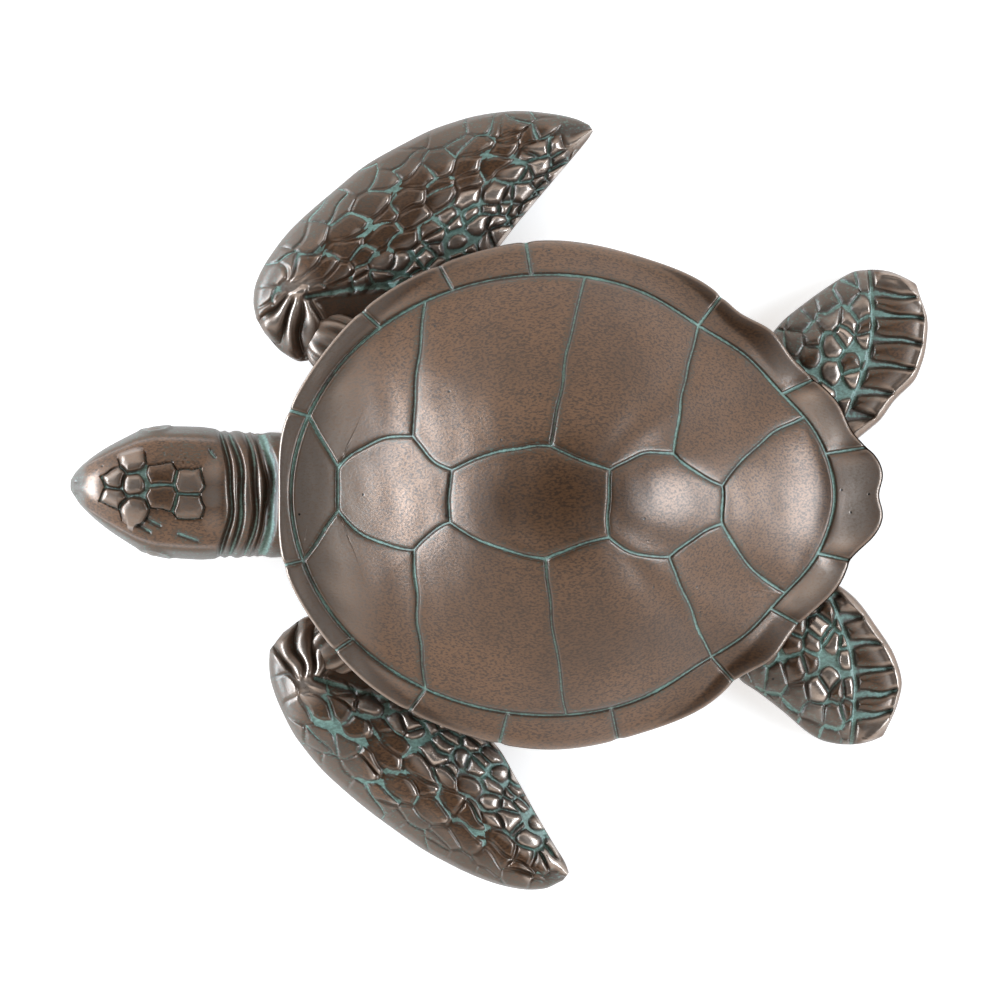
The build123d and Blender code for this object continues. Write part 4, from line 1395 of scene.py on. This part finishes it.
@dataclass
class FeltPads:
    """The felt under the belly and the dots under the flippers, cut from sheet and glued on."""

    plan: ShellPlan
    thickness: float = 2.0
    inset: float = 25.0
    edge_round: float = 0.35
    dot_diameter: float = 10.0
    dots: Pairs = ((-114.40, -28.36), (-54.24, 98.79), (117.76, -31.41), (64.31, 89.34))

    def disc(self, outline: Array, centre: Array) -> Array:
        """A flat pad as rings: its top from the middle out, over the softly rounded edge, and back below.

        Args:
            outline: Its outline in the plan.
            centre: The point that the rings close on.

        Returns:
            Points, shape (rings, corners, 3).
        """
        soft = self.edge_round
        tall = self.thickness
        inset = np.array((np.inf, 12.0, 4.0, soft, 0.1 * soft, 0.0, 0.0, 0.1 * soft, soft, 4.0, 12.0, np.inf))
        over = (tall, tall, tall, tall, tall - 0.3 * soft, tall - soft)
        height = np.array((*over, soft, 0.3 * soft, 0.0, 0.0, 0.0, 0.0))
        ray = outline - centre
        reach = np.linalg.norm(ray, axis=1)
        share = 1 - np.minimum(inset[:, None] / reach, np.where(np.isinf(inset), 1.0, 0.6)[:, None])
        flat = centre + share[..., None] * ray
        return np.concatenate((flat, np.broadcast_to(height[:, None, None], (*share.shape, 1))), axis=-1)

    def build(self) -> list[bpy.types.Object]:
        """The belly's felt, which follows the ring seam well inside it, and the four dots.

        Returns:
            The belly's pad, and the dots as one piece.
        """
        turn = np.linspace(-pi, pi, 360, endpoint=False)
        ring = self.plan.at(turn, self.plan.radius(self.plan.ring_polar, turn))
        run = np.roll(ring, -1, 0) - np.roll(ring, 1, 0)
        normal = np.stack((-run[:, 1], run[:, 0]), 1) / np.linalg.norm(run, axis=1)[:, None]
        outline = ring + self.inset * normal
        centre = np.array((0.0, self.plan.centre_y))
        belly = Surface()
        belly.add_grid(self.disc(outline, centre), FAR, 0.0)
        pad = belly.build("belly_pad")
        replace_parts(pad, "belly_felt")
        circle = np.stack((np.cos(turn[::6]), np.sin(turn[::6])), 1) * self.dot_diameter / 2
        dots = Surface()
        for place in self.dots:
            dots.add_grid(self.disc(circle + np.array(place), np.array(place)), FAR, 0.0)
        spots = dots.build("flipper_dots")
        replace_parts(spots, "flipper_felt_dots")
        return [pad, spots]


# Finishes


@dataclass(frozen=True)
class BronzeFinish:
    """Brown bronze paint over resin: paler on high places from handling and from painted highlights, green in the
    seams, finely scratched.
    """

    name: str
    base: Rgb = (0.155, 0.075, 0.034)
    dark: Rgb = (0.045, 0.022, 0.011)
    # Colour of paint paled by handling, also used for painted highlights
    bright: Rgb = (0.56, 0.47, 0.41)
    film: Rgb = (0.115, 0.100, 0.088)
    patina: Rgb = (0.190, 0.355, 0.305)
    patina_width: float = 0.48
    roughness: float = 0.34
    lacquer: float = 0.15
    lacquer_roughness: float = 0.30
    metal: float = 0.50
    # How metallic the handled paint and the painted highlights are
    wear_and_highlight_metal: float = 0.80
    ior: float = 2.0
    rim: Rgb = (0.022, 0.020, 0.018)
    pinhole: Rgb = (0.010, 0.010, 0.009)
    brush_roughness: float = 0.16
    brush_dent: float = 0.55
    bump_strength: float = 0.22
    bump_distance: float = 0.0004


def open_group(name: str, takes: tuple[str, ...], gives: tuple[str, ...]) -> bpy.types.NodeTree:
    """A new shader node group with named sockets, all of them plain values.

    Args:
        name: The group's name.
        takes: Names of its inputs.
        gives: Names of its outputs.

    Returns:
        The group, with no node in it yet.
    """
    group = bpy.data.node_groups.new(name, "ShaderNodeTree")
    for label in takes:
        group.interface.new_socket(label, in_out="INPUT", socket_type="NodeSocketFloat")
    for label in gives:
        group.interface.new_socket(label, in_out="OUTPUT", socket_type="NodeSocketFloat")
    return group


@dataclass
class NodeBench:
    """Short calls for placing and linking shader nodes in one tree."""

    tree: bpy.types.NodeTree

    def node(
        self, kind: str, inputs: dict[str | int, object] | None = None, **settings: object
    ) -> bpy.types.Node:
        """Place a node, set its options and its inputs.

        Args:
            kind: The node type, without its ShaderNode prefix.
            inputs: Values or output sockets by input name or number.
            settings: The node's own options.

        Returns:
            The new node.
        """
        made = self.tree.nodes.new(kind if kind.startswith("Node") else f"ShaderNode{kind}")
        for option, value in settings.items():
            setattr(made, option, value)
        for key, value in (inputs or {}).items():
            target = made.inputs[key]
            if isinstance(value, Socket):
                self.tree.links.new(value, target)
            else:
                target.default_value = value
        return made

    def noise(self, place: Socket, scale: float, detail: float, roughness: float = 0.5) -> Socket:
        """Noise from 0 to 1 at a place in metres."""
        inputs = {"Vector": place, "Scale": scale, "Detail": detail, "Roughness": roughness}
        return self.node("TexNoise", inputs).outputs["Fac"]

    def math(self, operation: str, a: Socket | float, b: Socket | float = 0.0, clamp: bool = False) -> Socket:
        """One sum of two values, as an output socket."""
        return self.node("Math", {0: a, 1: b}, operation=operation, use_clamp=clamp).outputs[0]

    def step(self, value: Socket, low: float, high: float, start: float = 0.0, end: float = 1.0) -> Socket:
        """A smooth step of a value between two limits."""
        inputs = {"Value": value, "From Min": low, "From Max": high, "To Min": start, "To Max": end}
        return self.node("MapRange", inputs, interpolation_type="SMOOTHSTEP").outputs["Result"]

    def mix(self, share: Socket | float, a: Socket | Rgb, b: Socket | Rgb) -> Socket:
        """A mix of two colours, from a at a share of 0 to b at 1."""
        first, second = (value if isinstance(value, Socket) else (*value, 1.0) for value in (a, b))
        return self.node("Mix", {0: share, 6: first, 7: second}, data_type="RGBA").outputs[2]

    def give(self, shader: Socket, kind: str = "OutputMaterial") -> None:
        """Link a shader to the tree's output."""
        self.node(kind, {"Surface": shader})


def open_material(name: str) -> tuple[bpy.types.Material, NodeBench]:
    """A new material with an empty tree.

    Args:
        name: The material's name.

    Returns:
        The material, and a bench for its nodes.
    """
    material = bpy.data.materials.new(name)
    material.use_nodes = True
    material.node_tree.nodes.clear()
    return material, NodeBench(material.node_tree)


def make_patina_group() -> bpy.types.NodeTree:
    """Green patina that fills the seams, with ragged edges, thin stretches and a dark edge.

    Returns:
        The group: seam distance and width in; patina and dark edge masks out.
    """
    group = open_group("seam_patina", ("Seam Distance", "Width"), ("Patina", "Dark Edge"))
    bench = NodeBench(group)
    seam, width = bench.node("NodeGroupInput").outputs[:2]
    place = bench.node("TexCoord").outputs["Object"]
    rag = bench.noise(place, 700.0, 3.0)
    broad = bench.noise(place, 60.0, 2.0)
    wobble = bench.math("MULTIPLY", bench.math("SUBTRACT", rag, 0.5), 0.7)
    spread = bench.math("MULTIPLY", bench.math("SUBTRACT", broad, 0.47), 1.1)
    away = bench.math("ADD", bench.math("ADD", seam, wobble), spread)
    share = bench.math("DIVIDE", away, width)
    thin = bench.step(broad, 0.36, 0.52, 1.0, 0.55)
    cover = bench.math("ADD", bench.math("MULTIPLY", thin, 0.38), 0.56)
    patina = bench.math("MULTIPLY", bench.step(share, 1.0, 0.35), cover)
    edge = bench.step(bench.math("DIVIDE", seam, width), 1.75, 0.95)
    bench.node("NodeGroupOutput", {"Patina": patina, "Dark Edge": edge})
    return group


def make_brush_group() -> bpy.types.NodeTree:
    """Fine brush marks, casting pinholes and cloudy tone of the bronze paint.

    Returns:
        The group: scratches, pinholes and clouds out, each from 0 to 1.
    """
    group = open_group("brushed_paint", (), ("Scratches", "Pinholes", "Clouds"))
    bench = NodeBench(group)
    place = bench.node("TexCoord").outputs["Object"]
    along = {"Vector": place, "Rotation": (0.0, 0.0, 0.6), "Scale": (1.0, 0.55, 1.0)}
    scratches = bench.noise(bench.node("Mapping", along).outputs["Vector"], 1500.0, 3.0)
    spots = bench.node("TexVoronoi", {"Vector": place, "Scale": 120.0}, feature="F1")
    hole = bench.step(spots.outputs["Distance"], 0.075, 0.03)
    chance = bench.node("SeparateColor", {"Color": spots.outputs["Color"]}).outputs["Red"]
    pinholes = bench.math("MULTIPLY", hole, bench.step(chance, 0.66, 0.70))
    clouds = bench.noise(place, 28.0, 4.0)
    bench.node("NodeGroupOutput", {"Scratches": scratches, "Pinholes": pinholes, "Clouds": clouds})
    return group


@dataclass
class FinishShop:
    """Makes the materials from the shared groups."""

    patina: bpy.types.NodeTree = field(default_factory=make_patina_group)
    brush: bpy.types.NodeTree = field(default_factory=make_brush_group)

    def brushed(self, bench: NodeBench) -> tuple[Socket, Socket, Socket]:
        """Scratches, clouds and pinholes of the brushed paint."""
        brush = bench.node("Group", node_tree=self.brush)
        return brush.outputs["Scratches"], brush.outputs["Clouds"], brush.outputs["Pinholes"]

    def paint(self, bench: NodeBench, finish: BronzeFinish, scratches: Socket, clouds: Socket) -> Socket:
        """The brown paint's colour before patina, handling marks and painted highlights: cloudy, and darker along
        the brush marks.

        Args:
            bench: Where its nodes go.
            finish: Its colours.
            scratches: The brush marks.
            clouds: The cloudy tone.

        Returns:
            The colour.
        """
        tone = bench.mix(bench.step(clouds, 0.30, 0.62), finish.dark, finish.base)
        tone = bench.mix(0.50, tone, finish.base)
        return bench.mix(bench.math("MULTIPLY", bench.step(scratches, 0.40, 0.66), 0.95), tone, finish.dark)

    def lacquered(
        self,
        bench: NodeBench,
        finish: BronzeFinish,
        scratches: Socket,
        pinholes: Socket,
        inputs: dict[str, object],
    ) -> None:
        """Finish a material: the paint, dented by its brush marks and pinholes, under a thin lacquer.

        Args:
            bench: The material's bench.
            finish: Its constants.
            scratches: The brush marks.
            pinholes: The casting's pinholes.
            inputs: The shader's other inputs.
        """
        dents = bench.math("SUBTRACT", bench.math("MULTIPLY", scratches, finish.brush_dent), pinholes)
        relief = {"Height": dents, "Strength": finish.bump_strength, "Distance": finish.bump_distance}
        normal = bench.node("Bump", relief).outputs["Normal"]
        same_all_over = {"IOR": finish.ior, "Coat Roughness": finish.lacquer_roughness}
        bench.give(bench.node("BsdfPrincipled", inputs | same_all_over | {"Normal": normal}).outputs[0])

    def bare(self, finish: BronzeFinish) -> bpy.types.Material:
        """The same paint for a casting without carving.

        Args:
            finish: Its colours and constants.

        Returns:
            The material.
        """
        material, bench = open_material(f"{finish.name}_plain")
        scratches, clouds, pinholes = self.brushed(bench)
        tone = bench.mix(pinholes, self.paint(bench, finish, scratches, clouds), finish.pinhole)
        rough = bench.math("ADD", bench.math("MULTIPLY", scratches, finish.brush_roughness), finish.roughness)
        inputs = {"Base Color": tone, "Metallic": finish.metal, "Roughness": rough, "Coat Weight": finish.lacquer}
        self.lacquered(bench, finish, scratches, pinholes, inputs)
        return material

    def bronze(self, finish: BronzeFinish) -> bpy.types.Material:
        """The bronze paint, from the casting's seam distance, wear_and_highlight (handling marks and painted
        highlights) and film.

        Args:
            finish: Its colours and constants.

        Returns:
            The material.
        """
        material, bench = open_material(finish.name)
        carved = ("seam_distance", "wear_and_highlight", "film")
        seam, wear_and_highlight, film = (bench.node("Attribute", attribute_name=name).outputs["Fac"] for name in carved)
        lines = {"Seam Distance": seam, "Width": finish.patina_width}
        patina = bench.node("Group", lines, node_tree=self.patina)
        green, rim = patina.outputs["Patina"], patina.outputs["Dark Edge"]
        scratches, clouds, pinholes = self.brushed(bench)
        tone = self.paint(bench, finish, scratches, clouds)
        # Darker towards the seams, in cloudy patches
        near_seam_darkening = bench.math("MULTIPLY", bench.step(seam, 3.2, 0.5), bench.step(clouds, 0.35, 0.60, 0.15, 0.75))
        tone = bench.mix(near_seam_darkening, tone, finish.dark)
        veil = bench.math("MULTIPLY", film, bench.step(clouds, 0.25, 0.65, 0.55, 0.95))
        tone = bench.mix(veil, tone, finish.film)
        haze = bench.math("MULTIPLY", bench.step(scratches, 0.50, 0.70), bench.math("ADD", veil, near_seam_darkening))
        tone = bench.mix(bench.math("MULTIPLY", haze, 0.35), tone, finish.patina)
        # Paler where handled, and where highlights are painted on high places
        rubbed_and_highlight = bench.math("MULTIPLY", wear_and_highlight, bench.step(scratches, 0.25, 0.6, 0.65, 1.0))
        tone = bench.mix(rubbed_and_highlight, tone, finish.bright)
        tone = bench.mix(bench.math("MULTIPLY", rim, 0.50), tone, finish.rim)
        tone = bench.mix(pinholes, tone, finish.pinhole)
        shade = tuple(0.60 * channel for channel in finish.patina)
        tone = bench.mix(green, tone, bench.mix(bench.step(scratches, 0.38, 0.62), shade, finish.patina))
        dull = bench.math("MAXIMUM", green, bench.math("MULTIPLY", rim, 0.6))
        dull = bench.math("MAXIMUM", dull, bench.math("MULTIPLY", veil, 0.45))
        clear = bench.math("SUBTRACT", 1.0, dull)
        metal = bench.math("MULTIPLY", clear, bench.step(rubbed_and_highlight, 0.0, 0.6, finish.metal, finish.wear_and_highlight_metal))
        rough = bench.math("MULTIPLY", scratches, finish.brush_roughness)
        rough = bench.math("ADD", rough, finish.roughness - 0.08)
        rough = bench.math("SUBTRACT", rough, bench.math("MULTIPLY", rubbed_and_highlight, 0.06))
        rough = bench.math("ADD", rough, bench.math("MULTIPLY", dull, 0.25), clamp=True)
        coat = bench.math("MULTIPLY", clear, finish.lacquer)
        inputs = {"Base Color": tone, "Metallic": metal, "Roughness": rough, "Coat Weight": coat}
        self.lacquered(bench, finish, scratches, pinholes, inputs)
        return material

    def felt(self) -> bpy.types.Material:
        """Dark green felt: matted fibres as fine noise in colour and bump.

        Returns:
            The material.
        """
        material, bench = open_material("felt")
        fibre = bench.noise(bench.node("TexCoord").outputs["Object"], 1500.0, 5.0)
        tone = bench.mix(bench.step(fibre, 0.3, 0.7), (0.010, 0.020, 0.016), (0.030, 0.052, 0.042))
        normal = bench.node("Bump", {"Height": fibre, "Strength": 0.5, "Distance": 0.0005}).outputs["Normal"]
        inputs = {"Base Color": tone, "Roughness": 0.95, "Sheen Weight": 0.3, "Normal": normal}
        bench.give(bench.node("BsdfPrincipled", inputs).outputs[0])
        return material

    def steel(self) -> bpy.types.Material:
        """Plain drawn steel, faintly mottled.

        Returns:
            The material.
        """
        material, bench = open_material("dowel_steel")
        mottle = bench.noise(bench.node("TexCoord").outputs["Object"], 600.0, 3.0)
        tone = bench.mix(mottle, (0.42, 0.42, 0.43), (0.60, 0.60, 0.61))
        rough = bench.step(mottle, 0.0, 1.0, 0.25, 0.42)
        inputs = {"Base Color": tone, "Metallic": 1.0, "Roughness": rough}
        bench.give(bench.node("BsdfPrincipled", inputs).outputs[0])
        return material


# Stage


@dataclass(frozen=True)
class SoftBox:
    """A soft box: where it stands and what it is turned to in metres, its size, and its power in watts."""

    name: str
    at: Trio
    to: Trio
    size: tuple[float, float]
    power: float
    colour: Rgb = (0.87, 1.0, 1.11)

    def build(self) -> None:
        """Make the lamp and turn it to its mark."""
        lamp = bpy.data.lights.new(self.name, "AREA")
        lamp.shape = "RECTANGLE"
        lamp.size, lamp.size_y = self.size
        lamp.energy = self.power
        lamp.color = self.colour
        box = bpy.data.objects.new(self.name, lamp)
        box.location = self.at
        box.rotation_euler = (Vector(self.to) - Vector(self.at)).to_track_quat("-Z", "Y").to_euler()
        bpy.context.scene.collection.objects.link(box)


@dataclass
class Studio:
    """Floor, soft boxes, sky and the camera straight above."""

    frame_width: float = 0.350
    distance: float = 2.4
    centre: tuple[float, float] = (0.00175, -0.028)
    rim_height: float = 0.02
    dark_from: float = 0.74
    floor_half: float = 3.0
    floor_glow: float = 0.55
    boxes: tuple[SoftBox, ...] = (
        SoftBox("front_box", (-0.10, -1.42, 0.54), (0.0, -0.06, 0.06), (1.60, 0.44), 31.0),
        SoftBox("rear_box", (0.05, 1.40, 0.74), (0.0, 0.04, 0.06), (1.10, 0.60), 20.0),
    )

    def build(self) -> None:
        """Set up everything round the figurine."""
        self.make_floor()
        self.make_sky()
        for box in self.boxes:
            box.build()
        self.make_camera()
        bpy.context.scene.view_settings.view_transform = "Standard"

    def make_floor(self) -> None:
        """A wide plain floor that the camera sees as white and that still takes the soft shadow."""
        half = self.floor_half
        mesh = bpy.data.meshes.new("floor")
        corners = [(-half, -half, 0), (half, -half, 0), (half, half, 0), (-half, half, 0)]
        mesh.from_pydata(corners, [], [(0, 1, 2, 3)])
        floor = bpy.data.objects.new("floor", mesh)
        bpy.context.scene.collection.objects.link(floor)
        material, bench = open_material("pale_floor")
        matt = bench.node("BsdfDiffuse", {"Color": (0.93, 0.93, 0.93, 1.0)}).outputs[0]
        glow = bench.node("Emission", {"Color": (1.0, 1.0, 1.0, 1.0), "Strength": self.floor_glow}).outputs[0]
        path = bench.node("LightPath").outputs
        seen = bench.math("MAXIMUM", path["Is Camera Ray"], path["Is Glossy Ray"])
        seen = bench.math("MAXIMUM", seen, path["Is Transmission Ray"])
        both = bench.node("AddShader", {0: matt, 1: glow}).outputs[0]
        bench.give(bench.node("MixShader", {0: seen, 1: matt, 2: both}).outputs[0])
        mesh.materials.append(material)

    def make_sky(self) -> None:
        """A grey room with a dark ceiling, which the camera sees as white."""
        world = bpy.data.worlds.new("studio")
        bpy.context.scene.world = world
        world.use_nodes = True
        world.node_tree.nodes.clear()
        bench = NodeBench(world.node_tree)
        seen = bench.node("LightPath").outputs["Is Camera Ray"]
        way = bench.node("SeparateXYZ", {0: bench.node("TexCoord").outputs["Generated"]}).outputs
        across, up = way["X"], way["Z"]
        wall = bench.step(bench.math("ABSOLUTE", across), 0.20, 0.62, 0.14, 1.0)
        wall = bench.math("MAXIMUM", wall, bench.step(up, 0.10, 0.42, 0.55, 0.0))
        grey = bench.math("MULTIPLY", wall, bench.step(up, self.dark_from, 0.98, 1.0, 0.05))
        room = bench.node("Background", {"Color": (1.0, 0.92, 0.84, 1.0), "Strength": grey}).outputs[0]
        white = bench.node("Background", {"Color": (1.0, 1.0, 1.0, 1.0), "Strength": 1.0}).outputs[0]
        bench.give(bench.node("MixShader", {0: seen, 1: room, 2: white}).outputs[0], "OutputWorld")

    def make_camera(self) -> None:
        """The camera straight above, with the head to the left of the picture."""
        data = bpy.data.cameras.new("camera")
        data.sensor_fit = "HORIZONTAL"
        data.lens = data.sensor_width * self.distance / self.frame_width
        camera = bpy.data.objects.new("camera", data)
        camera.location = (*self.centre, self.rim_height + self.distance)
        camera.rotation_euler = (0.0, 0.0, pi / 2)
        bpy.context.scene.collection.objects.link(camera)
        bpy.context.scene.camera = camera


# Outlines by distance along the limb: reach to the leading edge, and to the trailing edge, in millimetres

RIGHT_BLADE = (
    (-2.0, 1.5, 5.0), (-0.2, 6.5, 13.2), (4.2, 12.2, 19.8), (13.0, 17.8, 22.0), (25.0, 22.6, 21.2),
    (42.0, 26.2, 23.3), (62.0, 29.0, 23.2), (80.0, 28.5, 20.7), (95.0, 26.1, 15.2),
    (111.5, 20.2, 9.2), (123.5, 12.4, 4.9), (131.0, 5.6, 2.0), (133.5, 2.0, 0.7),
)
LEFT_BLADE = (
    (-2.0, 1.0, 7.0), (0.8, 5.0, 16.0), (5.0, 9.4, 20.0), (13.0, 14.6, 20.5), (25.5, 20.2, 18.5),
    (43.0, 23.8, 20.2), (61.0, 24.7, 22.2), (80.0, 24.2, 21.1), (95.0, 22.2, 15.6),
    (107.5, 19.2, 10.2), (118.5, 14.6, 5.7), (126.0, 8.8, 2.8), (129.2, 2.8, 0.8),
)
RIGHT_PADDLE = (
    (6.0, 16.0, 18.5), (12.0, 21.7, 26.2), (20.0, 22.8, 26.2), (31.0, 22.5, 23.8), (39.0, 21.9, 23.1),
    (46.5, 20.8, 19.5), (53.0, 17.0, 14.0), (57.5, 12.5, 8.5), (60.5, 7.0, 0.5),
)
LEFT_PADDLE = (
    (6.0, 18.0, 17.0), (12.0, 24.5, 23.7), (19.5, 22.9, 24.7), (32.0, 20.9, 23.3), (40.0, 20.1, 22.0),
    (46.0, 18.6, 19.9), (51.5, 15.3, 16.7), (56.5, 10.3, 9.7), (59.5, 5.3, 2.7),
)


def main() -> None:
    """Build every casting, dress it, set the stage and report."""
    logging.basicConfig(level=logging.INFO, format="%(message)s")
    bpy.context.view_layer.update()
    plan = ShellPlan()
    shop = FinishShop()
    finish = BronzeFinish("bronze_paint")
    bronze, plain = shop.bronze(finish), shop.bare(finish)
    castings = [
        *Carapace(plan).build(),
        FrontFlipper(Side.RIGHT, (-49.13, -79.23), 31.0, 150.0, (12.8, -32.0), RIGHT_BLADE).build(),
        FrontFlipper(Side.LEFT, (49.13, -79.23), 31.0, 142.5, (5.8, -27.5), LEFT_BLADE, seed=9).build(),
        HindFlipper(Side.RIGHT, (-32.84, 72.36), 141.0, RIGHT_PADDLE).build(),
        HindFlipper(Side.LEFT, (39.44, 66.16), 133.0, LEFT_PADDLE, seed=33).build(),
        Head().build(),
    ]
    for piece in castings:
        piece.data.materials.append(bronze)
        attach(piece, "root")
        LOG.info("%s: %d faces", piece.name, len(piece.data.polygons))
    felt = shop.felt()
    for piece in FeltPads(plan).build():
        piece.data.materials.append(felt)
        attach(piece, "root")
        LOG.info("%s: %d faces", piece.name, len(piece.data.polygons))
    steel = shop.steel()
    for name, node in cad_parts.items():
        node.data.materials.clear()
        node.data.materials.append(steel if "dowels" in name else felt if "felt" in name else plain)
        LOG.info("%s: carried over", name)
    Studio().build()
    bpy.context.view_layer.update()


if __name__ == "__main__":
    main()
